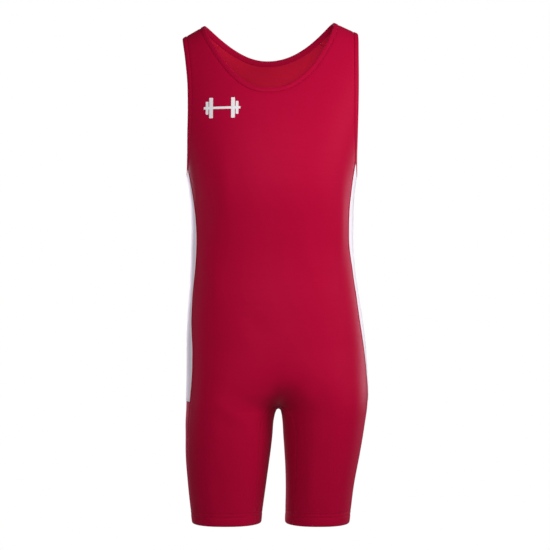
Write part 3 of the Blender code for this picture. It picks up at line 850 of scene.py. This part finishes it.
RED = (0.44, 0.0031, 0.0375, 1.0)
DEEP_RED = (0.36, 0.0021, 0.0272, 1.0)
# The inner face is a slightly duller red than the outer face, which is its own colour. It is also painted
# lighter, as painted light on the inside that the lamps reach less.
INNER_RED_PAINTED_LIGHTER = (0.54, 0.0085, 0.039, 1.0)
DEEP_INNER_RED_PAINTED_LIGHTER = (0.45, 0.0065, 0.030, 1.0)
RED_GLOSS = (1.0, 0.13, 0.23, 1.0)
red_face = knit("red_knit_face", RED, DEEP_RED, roughness=0.50, sheen=0.30, gloss=RED_GLOSS)
red_back = knit("red_knit_back", INNER_RED_PAINTED_LIGHTER, DEEP_INNER_RED_PAINTED_LIGHTER, roughness=0.62, sheen=0.15, gloss=RED_GLOSS)


def worn(item, node=None):
    """Attach a piece: it moves with the suit and stands for its node, which is hidden."""
    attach(item, "root")
    if node:
        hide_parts(node)


def sewn_panel(face):
    """The front or the back panel as a thin shell over its node."""
    places, triangles, gaps = panel_mesh(face)
    points = body_points(places[:, 0] / STEP_LENGTH, places[:, 1])
    height = points[:, 2]
    rise = creases(face, points, gaps)
    item = cloth_shell(
        face + "_panel_cloth", points, triangles, relief(height, gaps) + rise, hem_thickness(height) - rise,
        places, (red_face, red_back))
    worn(item, face + "_panel")


sewn_panel("front")

# Back panel.
# The same cloth, from the shoulder seams down the back of both legs, cut higher at the neck and
# with deeper armholes behind.
sewn_panel("back")

# Side panels.
# A narrow piece of the same cloth each side, from under the arm to the hem, between the front and
# the back seams. Rows run across it and lines run down it.
SIDE_TOP_END = -0.360
SIDE_TOP_ROWS = 22
BAND_EDGE = 0.94
SIDE_PLACES = np.array([
    -1.0, -0.985, -0.96, -BAND_EDGE, -0.925, -0.88, -0.80, -0.68, -0.55, -0.42, -0.28, -0.14, 0.0,
    0.14, 0.28, 0.42, 0.55, 0.68, 0.80, 0.88, 0.925, BAND_EDGE, 0.96, 0.985, 1.0])


def side_line(name, place):
    """Chart line down a side panel with its points on the rows that all its lines share."""
    _, top = armhole_seam(side_top_turn(name, place))
    upper = np.linspace(mirrored(float(top), place), SIDE_TOP_END, SIDE_TOP_ROWS, endpoint=False)
    middle = np.arange(SIDE_TOP_END, BAND_END + EDGE_SPACING / 2, -EDGE_SPACING)
    lower = np.arange(BAND_END - EDGE_SPACING / 2, HEM_LEVELS[-1] + EDGE_SPACING / 2, -EDGE_SPACING)
    levels = np.concatenate([upper, middle, [BAND_END], lower, HEM_LEVELS[::-1]])
    sign = -1 if name == "left" else 1
    return sign * side_step(name, place, levels), mirrored(levels, place)


def grid_triangles(rows, columns):
    """Triangles of a grid of points, row by row."""
    corner = (np.arange(rows - 1)[:, None] * columns + np.arange(columns - 1)).ravel()
    below = corner + columns
    return np.stack([corner, below, below + 1, corner, below + 1, corner + 1], axis=-1).reshape(-1, 3)


def measured(grid):
    """Lengths over the cloth of a grid of points: across from its first column, along from its first row."""
    across = np.zeros(grid.shape[:2])
    along = np.zeros(grid.shape[:2])
    across[:, 1:] = np.cumsum(np.linalg.norm(np.diff(grid, axis=1), axis=-1), axis=1)
    along[1:] = np.cumsum(np.linalg.norm(np.diff(grid, axis=0), axis=-1), axis=0)
    return across, along


def grid_shell(name, grid, out_by, in_by, finishes):
    """A shell over a grid of points, with its cloth plan measured along it."""
    across, along = measured(grid)
    plan = np.stack([across - across[:, -1:] / 2, -along], axis=-1).reshape(-1, 2)
    rows, columns, _ = grid.shape
    return cloth_shell(
        name, grid.reshape(-1, 3), grid_triangles(rows, columns), out_by, in_by, plan, finishes)


side_grids = {}
side_cloths = {}
for name in ("left", "right"):
    grid = np.stack([body_points(*side_line(name, place)) for place in SIDE_PLACES], axis=1)
    side_grids[name] = grid
    across, along = measured(grid)
    gap = np.minimum(np.minimum(across, across[:, -1:] - across), along)
    height = grid[..., 2]
    side_cloths[name] = grid_shell(
        "side_cloth_" + name, grid, relief(height, gap), hem_thickness(height), (red_face, red_back))
    worn(side_cloths[name], "side_panel_" + name)

# Side bands.
# A plain smooth white stretch tape laid on each side panel, from the armhole down to a straight cut at
# the top of the thigh, and stitched down along its edges.
BAND_LIFT = 0.0003
BAND_CLOTH = 0.0008
BAND_THINNING = 0.6
BAND_EDGE_WIDTH = 0.0006
# Both whites are tinted lavender, which is painted bounce light and cool shade on the tape. The darker one
# is also the painted shade of the stitch grooves and the low end of the tape's uneven tone.
TAPE_WHITE_PAINTED_LAVENDER = (0.92, 0.885, 0.93, 1.0)
SHADED_WHITE = (0.86, 0.82, 0.88, 1.0)
WHITE_GLOSS = (1.0, 1.0, 1.0, 1.0)
white_tape = knit("white_tape", TAPE_WHITE_PAINTED_LAVENDER, SHADED_WHITE, roughness=0.5, sheen=0.9, gloss=WHITE_GLOSS)
band_grids = {}
for name in ("left", "right"):
    grid = side_grids[name]
    grid = grid[grid[:, 0, 2] > BAND_END - NUDGE][:, np.abs(SIDE_PLACES) < BAND_EDGE + NUDGE]
    band_grids[name] = grid
    across, along = measured(grid)
    gap = np.minimum(np.minimum(across, across[:, -1:] - across), along[-1:] - along)
    top = BAND_LIFT + BAND_CLOTH * (1 - BAND_THINNING * np.exp(-gap / BAND_EDGE_WIDTH))
    item = grid_shell("side_tape_" + name, grid, top, np.full(gap.shape, -BAND_LIFT), (white_tape,))
    worn(item, "side_band_" + name)

# Inner leg gusset.
# One strip of the same cloth that runs from one hem up the inner leg, under the crotch and down the
# other leg, so that no seam crosses the crotch.
GUSSET_PARTS = np.array([1.0, 0.975, 0.93, 0.85, 0.72, 0.58, 0.44, 0.30, 0.15, 0.0])


def gusset_line(side, place, part):
    """Chart line along the gusset, part of the way from its crease to its front or back seam."""
    steps, runs = gusset_seam(side, place)
    seams = mirrored(runs, place)
    arch = (seams - ARCH_FOOT) / (ARCH_TOP - ARCH_FOOT)
    creases = np.where(seams > ARCH_FOOT, ARCH_FOOT + (CROTCH_HEIGHT - ARCH_FOOT) * arch, seams)
    return steps * part, mirrored(creases + (seams - creases) * part ** 2, place)


halves = []
for side in (-1, 1):
    fronts = [body_points(*gusset_line(side, -1, part)) for part in GUSSET_PARTS]
    backs = [body_points(*gusset_line(side, 1, part)) for part in GUSSET_PARTS[-2::-1]]
    halves.append(np.stack(fronts + backs, axis=1))
grid = np.concatenate([halves[0][::-1], halves[1][1:]])
across, _ = measured(grid)
gap = np.minimum(across, across[:, -1:] - across)
height = grid[..., 2]
gusset = grid_shell(
    "inner_leg_gusset_cloth", grid, relief(height, gap), hem_thickness(height), (red_face, red_back))
worn(gusset, "inner_leg_gusset")

# Neck binding and armhole bindings.
# A strip of the same knit folded over each raw edge and stitched through, about 9 mm wide outside and
# a little wider inside, its ends joined at the middle of the back of the neck and under each arm.
BINDING_SPACING = 0.003
BINDING_UNDER = -0.0018
BINDING_CURL = 0.0002
BINDING_COLUMNS = ("reach", "lift")
BINDING_PROFILE = (
    (0.00015, -0.00130), (0.00015, 0.00010), (0.00035, 0.00045), (0.0009, 0.00062), (0.0013, 0.00060),
    (0.0016, 0.00052), (0.0019, 0.00062), (0.0026, 0.00078), (0.0042, 0.00090), (0.0058, 0.00086),
    (0.0072, 0.00070), (0.0082, 0.00040), (0.0088, -0.00005), (0.0090, -0.00055), (0.0088, -0.00105),
    (0.0082, -0.00150), (0.0070, -0.00180), (0.0050, -0.00195), (0.0026, -0.00200), (0.0006, -0.00205),
    (-0.0010, -0.00205), (BINDING_UNDER, -0.00185), (BINDING_UNDER - BINDING_CURL, -0.00160),
    (BINDING_UNDER, -0.00138))
JOIN_DIP = 0.0006
JOIN_HALF = 0.0010
NECK_MIDDLE = np.array([0.0, 0.0, 0.0])
ARMHOLE_MIDDLE = np.array([0.2, 0.0, -0.15])
BINDING_RED = (0.43, 0.0035, 0.0375, 1.0)
DEEP_BINDING_RED = (0.35, 0.0023, 0.0272, 1.0)
binding_knit = knit(
    "binding_knit", BINDING_RED, DEEP_BINDING_RED, roughness=0.50, sheen=0.30, gloss=RED_GLOSS)


def read_along(points, along, places):
    """Points at some places along a line of points."""
    return np.stack([np.interp(places, along, points[:, axis]) for axis in range(3)], axis=-1)


def closed_path(line, toward):
    """Points of a closed seam line set evenly, and the ways from it along the cloth to the hole."""
    seam = body_points(*line)
    along = lengths(seam)
    places = np.linspace(0, along[-1], int(along[-1] / BINDING_SPACING), endpoint=False)
    seam = read_along(seam, along, places)
    ahead = unit(np.roll(seam, -1, axis=0) - np.roll(seam, 1, axis=0))
    draw = unit(np.cross(normals(seam), ahead))
    return seam, draw if np.sum(draw * (toward - seam)) > 0 else -draw


def tube_faces(spans, rows, sides):
    """Four-cornered faces of a tube of rings; past its last ring comes the first."""
    row, column = np.meshgrid(np.arange(spans), np.arange(sides), indexing="ij")
    ring = row * sides
    after_ring = (row + 1) % rows * sides
    after = (column + 1) % sides
    corners = [ring + column, ring + after, after_ring + after, after_ring + column]
    return np.stack(corners, axis=-1).reshape(-1, 4)


def binding(name, node, line, toward):
    """Folded binding: its profile carried round a closed seam line, with a join at the line's start."""
    seam, draw = closed_path(line, toward)
    profile = dict(zip(BINDING_COLUMNS, np.array(BINDING_PROFILE).T))
    reach = profile["reach"]
    lift = profile["lift"]
    rows = len(seam)
    sides = len(reach)
    points = settle(seam[:, None] + draw[:, None] * reach[None, :, None])
    directions = normals(points)
    beside = np.linalg.norm(seam - seam[0], axis=-1)
    join = JOIN_DIP * np.exp(-(beside / JOIN_HALF) ** 2)[:, None] * np.where(lift > 0, 1, -1)
    points = (points + directions * (lift[None] - join)[..., None]).reshape(-1, 3)
    faces = tube_faces(rows, rows, sides)
    item = made(name, points, faces.tolist(), (binding_knit,))
    mesh = item.data
    crown = faces[sides // 3]
    normal = np.cross(points[crown[1]] - points[crown[0]], points[crown[2]] - points[crown[0]])
    if np.dot(normal, directions[0, sides // 3]) < 0:
        mesh.flip_normals()
    mesh.shade_smooth()
    corners = np.empty(len(mesh.loops), np.int32)
    mesh.loops.foreach_get("vertex_index", corners)
    turn = np.concatenate([[0.0], np.cumsum(np.hypot(np.diff(reach), np.diff(lift)))])
    girth = turn[-1] + np.hypot(reach[0] - reach[-1], lift[0] - lift[-1])
    face = np.arange(len(corners)) // 4
    length = corners // sides + rows * ((corners < sides) & (face >= (rows - 1) * sides))
    round_it = turn[corners % sides] + girth * ((corners % sides == 0) & (face % sides == sides - 1))
    planned(item, np.stack([length * BINDING_SPACING, round_it], axis=-1))
    worn(item, node)


bound_rims = [(neck_seam(np.linspace(np.pi / 2, np.pi * 5 / 2, 4 * DENSE)), NECK_MIDDLE)]
binding("neck_binding_tape", "neck_binding", *bound_rims[0])
for name, sign in (("left", -1), ("right", 1)):
    line = armhole_line(name, np.linspace(0, 2, 4 * DENSE))
    bound_rims.append((line, ARMHOLE_MIDDLE * np.array([sign, 1, 1])))
    binding("armhole_tape_" + name, "armhole_binding_" + name, *bound_rims[-1])

# Seam allowances.
# The overlocked edges of two pieces, pressed flat behind each seam: a soft low ridge inside the cloth
# along the side, gusset and shoulder seams.
ALLOWANCE_HALF = 0.0032
ALLOWANCE_THICKNESS = 0.0011
ALLOWANCE_GAP = 0.00015
ALLOWANCE_START = 0.0022
ALLOWANCE_END = 0.001
ALLOWANCE_PROFILE = (
    (-1.0, 0.35), (-0.96, 0.75), (-0.75, 1.0), (-0.25, 0.92), (0.0, 0.86), (0.25, 0.92), (0.75, 1.0),
    (0.96, 0.75), (1.0, 0.35), (0.96, 0.0), (0.3, 0.0), (-0.3, 0.0), (-0.96, 0.0))


def open_path(line, gap=BINDING_SPACING):
    """Points, ways across and inward ways along an open seam line."""
    points = body_points(*spaced(line, gap))
    inward = -normals(points)
    across = unit(np.cross(inward, np.gradient(points, axis=0)))
    return points, across, inward


def allowance(lines):
    """Points, cloth plan and faces of the ridges behind some seam lines."""
    share, depth = np.array(ALLOWANCE_PROFILE).T
    sides = len(share)
    points = []
    plans = []
    faces = []
    for line in lines:
        seam, across, inward = open_path(line)
        below = np.where(seam[:, 2] < HEM_FOLD, HEM_CLOTH, CLOTH) + ALLOWANCE_GAP
        level = below[:, None] + ALLOWANCE_THICKNESS * depth
        ring = seam[:, None] + across[:, None] * (ALLOWANCE_HALF * share)[None, :, None]
        ring = settle(ring) + inward[:, None] * level[..., None]
        first = sum(len(group) for group in points)
        rows = len(seam)
        faces += (tube_faces(rows - 1, rows, sides) + first).tolist()
        faces.append(list(range(first + sides - 1, first - 1, -1)))
        faces.append(list(range(first + (rows - 1) * sides, first + rows * sides)))
        points.append(ring.reshape(-1, 3))
        across, along = np.meshgrid(ALLOWANCE_HALF * share, np.arange(rows) * BINDING_SPACING)
        plans.append(np.stack([across, along], axis=-1).reshape(-1, 2))
    return np.concatenate(points), np.concatenate(plans), faces


def shortened(line, start=ALLOWANCE_END):
    """A chart line with a little taken off each end."""
    along = lengths(body_points(*line))
    keep = (along > start) & (along < along[-1] - ALLOWANCE_END)
    return line[0][keep], line[1][keep]


side_seams = [
    shortened(side_seam(name, place), ALLOWANCE_START) for name in ("left", "right") for place in (-1, 1)]
gusset_seams = []
for place in (-1, 1):
    left_half = backwards(gusset_seam(-1, place))
    right_half = gusset_seam(1, place)
    gusset_seams.append(shortened(
        tuple(np.concatenate([left_half[axis][:-1], right_half[axis]]) for axis in (0, 1))))
shoulder_seams = []
for side, name in ((-1, "left"), (1, "right")):
    neck_end = neck_seam(np.array([np.pi - NECK_TURN if side < 0 else NECK_TURN]))
    strap_end = armhole_line(name, np.array([SHOULDER_TURN]))
    shoulder_seams.append(shortened(straight(strap_end, neck_end)))
seam_lines = side_seams + gusset_seams + shoulder_seams
points, plan, faces = allowance(seam_lines)
allowances = made("seam_allowances", points, faces, (red_back,))
rounded(allowances)
planned(allowances, plan[[corner for face in faces for corner in face]])
worn(allowances)

# Stitching.
# Polyester thread, each stitch half sunk in the cloth: twin rows round the hems, a row with end tacks on
# each binding, overlock loops on the allowances, flat cover stitches over the side and gusset seams, and a
# white row along each edge of the side bands.
THREAD_RED = (0.47, 0.004, 0.0395, 1.0)
THREAD_PALE = (0.58, 0.014, 0.062, 1.0)
THREAD_WHITE = (0.82, 0.82, 0.83, 1.0)
STITCH_SIDES = 6
STITCH_RINGS = 4
STITCH_PITCH = 0.0030
STITCH_SHARE = 0.80
THREAD_RADIUS = 0.00021
BINDING_STITCH_REACH = 0.0016
BINDING_STITCH_LIFTS = (0.00058, -0.00206)
TACK_BESIDE = (-2, -1, 1, 2)
TACK_REACH = np.linspace(0.0022, 0.0076, 7)
TACK_LIFT = 0.00080
TACK_PITCH = 0.0018
HEM_STITCH_LIFT = -0.00032
COVER_PITCH = 0.0013
COVER_REACH = 0.0026
COVER_LIFT = -0.0001
COVER_LEAN = 0.5
OVERLOCK_PITCH = 0.0028
OVERLOCK_REACH = 0.0026
OVERLOCK_LEAN = 0.35
OVERLOCK_LEVEL = 0.9 * ALLOWANCE_THICKNESS
BAND_INSET = 0.0022
PLIES = 2600.0
PLY_RELIEF = 0.00005
PLY_SHADE = 0.8
THREADS = (("red_thread", THREAD_RED), ("pale_thread", THREAD_PALE), ("white_thread", THREAD_WHITE))
thread_finishes = {}
for name, colour in THREADS:
    thread = Finish(name, Metallic=0.0, Specular_IOR_Level=0.25, Specular_Tint=colour)
    place = thread.node("ShaderNodeTexCoord", {}, {}, "Object")
    plies = thread.node("ShaderNodeTexNoise", {}, {"Vector": place, "Scale": PLIES, "Detail": 1.0})
    deep = tuple(PLY_SHADE * part for part in colour[:3]) + (1.0,)
    thread.set(thread.shader, "Base Color", thread.mixed(plies, deep, colour))
    thread.set(thread.shader, "Roughness", 0.42 + plies * 0.2)
    bump = thread.node("ShaderNodeBump", {}, {"Strength": 0.6, "Distance": PLY_RELIEF, "Height": plies})
    thread.set(thread.shader, "Normal", bump)
    thread_finishes[name] = thread.material


def stitch_tree():
    """A tree that lays one stitch on each point, along the point's own way."""
    tree = bpy.data.node_groups.new("stitches", "GeometryNodeTree")
    tree.interface.new_socket("Geometry", in_out="INPUT", socket_type="NodeSocketGeometry")
    tree.interface.new_socket("Thread radius", in_out="INPUT", socket_type="NodeSocketFloat")
    tree.interface.new_socket("Thread", in_out="INPUT", socket_type="NodeSocketMaterial")
    tree.interface.new_socket("Geometry", in_out="OUTPUT", socket_type="NodeSocketGeometry")
    kinds = (
        "NodeGroupInput", "NodeGroupOutput", "GeometryNodeMeshUVSphere", "GeometryNodeInputNamedAttribute",
        "GeometryNodeInputNamedAttribute", "FunctionNodeAlignRotationToVector", "ShaderNodeCombineXYZ",
        "GeometryNodeInstanceOnPoints", "GeometryNodeRealizeInstances", "GeometryNodeSetShadeSmooth",
        "GeometryNodeSetMaterial")
    given, out, bead, way, size, turn, scale, place, real, smoothed, dyed = (
        tree.nodes.new(kind) for kind in kinds)
    bead.inputs["Segments"].default_value = STITCH_SIDES
    bead.inputs["Rings"].default_value = STITCH_RINGS
    bead.inputs["Radius"].default_value = 1.0
    way.data_type = "FLOAT_VECTOR"
    way.inputs["Name"].default_value = "way"
    size.data_type = "FLOAT"
    size.inputs["Name"].default_value = "half_length"
    turn.axis = "Z"
    links = (
        (way.outputs["Attribute"], turn.inputs["Vector"]),
        (given.outputs["Thread radius"], scale.inputs["X"]),
        (given.outputs["Thread radius"], scale.inputs["Y"]),
        (size.outputs["Attribute"], scale.inputs["Z"]),
        (given.outputs["Geometry"], place.inputs["Points"]),
        (bead.outputs["Mesh"], place.inputs["Instance"]),
        (turn.outputs["Rotation"], place.inputs["Rotation"]),
        (scale.outputs["Vector"], place.inputs["Scale"]),
        (place.outputs["Instances"], real.inputs["Geometry"]),
        (real.outputs["Geometry"], smoothed.inputs["Geometry"]),
        (smoothed.outputs["Geometry"], dyed.inputs["Geometry"]),
        (given.outputs["Thread"], dyed.inputs["Material"]),
        (dyed.outputs["Geometry"], out.inputs["Geometry"]))
    for start, end in links:
        tree.links.new(start, end)
    return tree


stitches = stitch_tree()


def sewn(name, rows, thread):
    """One object of the stitches of some rows, each row a pair of places and end-to-end ways."""
    places = np.concatenate([row[0] for row in rows])
    ways = np.concatenate([row[1] for row in rows])
    item = made(name, places, [], ())
    halves = np.linalg.norm(ways, axis=-1) / 2
    item.data.attributes.new("way", "FLOAT_VECTOR", "POINT").data.foreach_set(
        "vector", ways.astype(np.float32).ravel())
    item.data.attributes.new("half_length", "FLOAT", "POINT").data.foreach_set(
        "value", halves.astype(np.float32))
    modifier = item.modifiers.new("stitches", "NODES")
    modifier.node_group = stitches
    sockets = {socket.name: socket.identifier for socket in stitches.interface.items_tree}
    modifier[sockets["Thread radius"]] = THREAD_RADIUS
    modifier[sockets["Thread"]] = thread_finishes[thread]
    bpy.context.view_layer.update()
    ready = item.evaluated_get(bpy.context.evaluated_depsgraph_get())
    item.data = bpy.data.meshes.new_from_object(ready)
    item.modifiers.clear()
    worn(item)


def running(points, lift, pitch=STITCH_PITCH, closed=False):
    """Straight stitches along a line of points on the form, lifted off it."""
    if closed:
        points = np.concatenate([points, points[:1]])
    along = lengths(points)
    count = int(along[-1] / pitch)
    middles = (np.arange(count) + 0.5) * along[-1] / count
    half = STITCH_SHARE * pitch / 2
    places = read_along(points, along, middles)
    ways = read_along(points, along, middles + half) - read_along(points, along, middles - half)
    return places + normals(places) * lift, ways


hem_rows = []
for side in (-1.0, 1.0):
    for level in NEEDLE_ROWS:
        forth = body_points(side * np.linspace(0, 1, DENSE), np.full(DENSE, level))
        back = body_points(side * np.linspace(1, 0, DENSE), np.full(DENSE, 2 * RIDGE_RUN - level))
        hem_rows.append(running(np.concatenate([forth, back[1:-1]]), HEM_STITCH_LIFT, closed=True))
sewn("hem_stitches", hem_rows, "red_thread")

binding_rows = []
for line, toward in bound_rims:
    seam, draw = closed_path(line, toward)
    for lift in BINDING_STITCH_LIFTS:
        binding_rows.append(running(settle(seam + draw * BINDING_STITCH_REACH), lift, closed=True))
    for beside in TACK_BESIDE:
        tack = settle(seam[beside] + draw[beside] * TACK_REACH[:, None])
        binding_rows.append(running(tack, TACK_LIFT, TACK_PITCH))
sewn("binding_stitches", binding_rows, "red_thread")

overlock_rows = []
for line in seam_lines:
    seam, across, inward = open_path(line, OVERLOCK_PITCH)
    cloth = np.where(seam[:, 2] < HEM_FOLD, HEM_CLOTH, CLOTH)
    level = (cloth + ALLOWANCE_GAP + OVERLOCK_LEVEL)[:, None]
    ahead = np.gradient(seam, axis=0)
    for lean in (-OVERLOCK_LEAN, OVERLOCK_LEAN):
        overlock_rows.append((settle(seam) + inward * level, across * OVERLOCK_REACH * 2 + ahead * lean))
sewn("overlock_stitches", overlock_rows, "red_thread")

cover_rows = []
for line in gusset_seams + side_seams:
    seam, across, inward = open_path(line, COVER_PITCH)
    ahead = np.gradient(seam, axis=0)
    lean = np.where(np.arange(len(seam)) % 2 == 0, COVER_LEAN, -COVER_LEAN)[:, None]
    cover_rows.append((settle(seam) - inward * COVER_LIFT, across * COVER_REACH + ahead * lean))
sewn("cover_stitches", cover_rows, "pale_thread")

band_rows = []
for name in ("left", "right"):
    grid = band_grids[name]
    across, _ = measured(grid)
    for targets in (np.full(len(grid), BAND_INSET), across[:, -1] - BAND_INSET):
        line = np.stack([read_along(*row) for row in zip(grid, across, targets)])
        band_rows.append(running(line, BAND_LIFT + BAND_CLOTH))
    level = grid[-1, 0, 2] + BAND_INSET
    row = np.argmin(np.abs(grid[:, 0, 2] - level))
    inside = (across[row] > BAND_INSET) & (across[row] < across[row, -1] - BAND_INSET)
    band_rows.append(running(grid[row][inside], BAND_LIFT + BAND_CLOTH))
sewn("band_stitches", band_rows, "white_thread")

# Chest sign.
# A plain barbell cut from thin white film and heat-pressed on the chest, flat on the cloth and
# following it.
SIGN_CENTRE = (-0.0910, -0.1555)
SIGN_THICKNESS = 0.00018
SIGN_LIFT = 0.00012
SIGN_SPACING = 0.0012
SIGN_CLEARANCE = 0.0004
SIGN_SINK = 0.2
SIGN_SETTLINGS = 12
FRONT_START = -0.05
SIGN_COLUMNS = ("outer_end", "half_height")
SIGN_STEPS = (
    (0.0168, 0.0022),
    (0.0236, 0.0190),
    (0.0250, 0.0022),
    (0.0300, 0.0120),
    (0.0338, 0.0022),
)
SIGN_CORNER = 0.0006
SIGN_WHITE = (0.86, 0.86, 0.87, 1.0)
SIGN_SHADE = (0.80, 0.80, 0.81, 1.0)
GRAIN = 900.0
GRAIN_RELIEF = 0.00004
film = Finish("white_film", Metallic=0.0, Roughness=0.38, Specular_IOR_Level=0.4)
place = film.node("ShaderNodeTexCoord", {}, {}, "Object")
grain = film.node("ShaderNodeTexNoise", {}, {"Vector": place, "Scale": GRAIN, "Detail": 2.0})
film.set(film.shader, "Base Color", film.mixed(grain, SIGN_SHADE, SIGN_WHITE))
film.set(film.shader, "Normal", film.node(
    "ShaderNodeBump", {}, {"Strength": 0.4, "Distance": GRAIN_RELIEF, "Height": grain}))


def on_front(across, height):
    """Points of the form's front at places across and heights."""
    forward = np.full(across.shape, FRONT_START)
    for _ in range(SIGN_SETTLINGS):
        points = np.stack([across, forward, height], axis=-1)
        ahead = points - np.array([0.0, NUDGE, 0.0])
        slope = (outside(points) - outside(ahead)) / NUDGE
        forward = forward - outside(points) / slope
    return np.stack([across, forward, height], axis=-1)


def sign_outline():
    """Outline of the barbell in its own plane, its corners cut and its edges in short steps."""
    quarter = []
    reach = 0.0
    for outer_end, half_height in SIGN_STEPS:
        quarter += [(reach, half_height), (outer_end, half_height)]
        reach = outer_end
    quarter = np.array(quarter[1:])
    upper = np.concatenate([quarter, quarter[::-1] * np.array([1, -1])])
    corners = np.concatenate([upper, -upper])
    eased = []
    for before, corner, after in zip(np.roll(corners, 1, axis=0), corners, np.roll(corners, -1, axis=0)):
        for other in (before, after):
            way = other - corner
            eased.append(corner + way / np.linalg.norm(way) * min(SIGN_CORNER, np.linalg.norm(way) / 3))
    outline = []
    for first, second in zip(eased, eased[1:] + eased[:1]):
        steps = max(1, int(np.linalg.norm(second - first) / SIGN_SPACING))
        outline += [first + (second - first) * step / steps for step in range(steps)]
    return np.array(outline)


outline = sign_outline()
steps = dict(zip(SIGN_COLUMNS, np.array(SIGN_STEPS).T))
ends = steps["outer_end"]
heights = steps["half_height"]
rows = [np.arange(-side + SIGN_SPACING / 2, side, SIGN_SPACING) for side in (ends[-1], heights.max())]
inner = np.stack(np.meshgrid(*rows), axis=-1).reshape(-1, 2)
room = np.min([
    heights[np.searchsorted(ends, np.abs(inner[:, 0]) + shift).clip(0, len(ends) - 1)]
    for shift in (-SIGN_CLEARANCE, 0.0, SIGN_CLEARANCE)], axis=0)
inner = inner[np.abs(inner[:, 1]) < room - SIGN_CLEARANCE]
flat = [Vector(point) for point in np.concatenate([outline, inner])]
edges = [(index, (index + 1) % len(outline)) for index in range(len(outline))]
result = delaunay_2d_cdt(flat, edges, [list(range(len(outline)))], 1, MERGE)
flat = np.array([point[:] for point in result[0]])
faces = np.array([tuple(face) for face in result[2]])
base = on_front(SIGN_CENTRE[0] + flat[:, 0], SIGN_CENTRE[1] + flat[:, 1])
ways = normals(base)
faces = turned_out(base, ways, faces)
faces = walled(faces, rim(faces), len(base))
points = np.concatenate([base + ways * (SIGN_LIFT + SIGN_THICKNESS), base + ways * SIGN_LIFT * SIGN_SINK])
worn(made("chest_sign", points, faces.tolist(), (film.material,)))
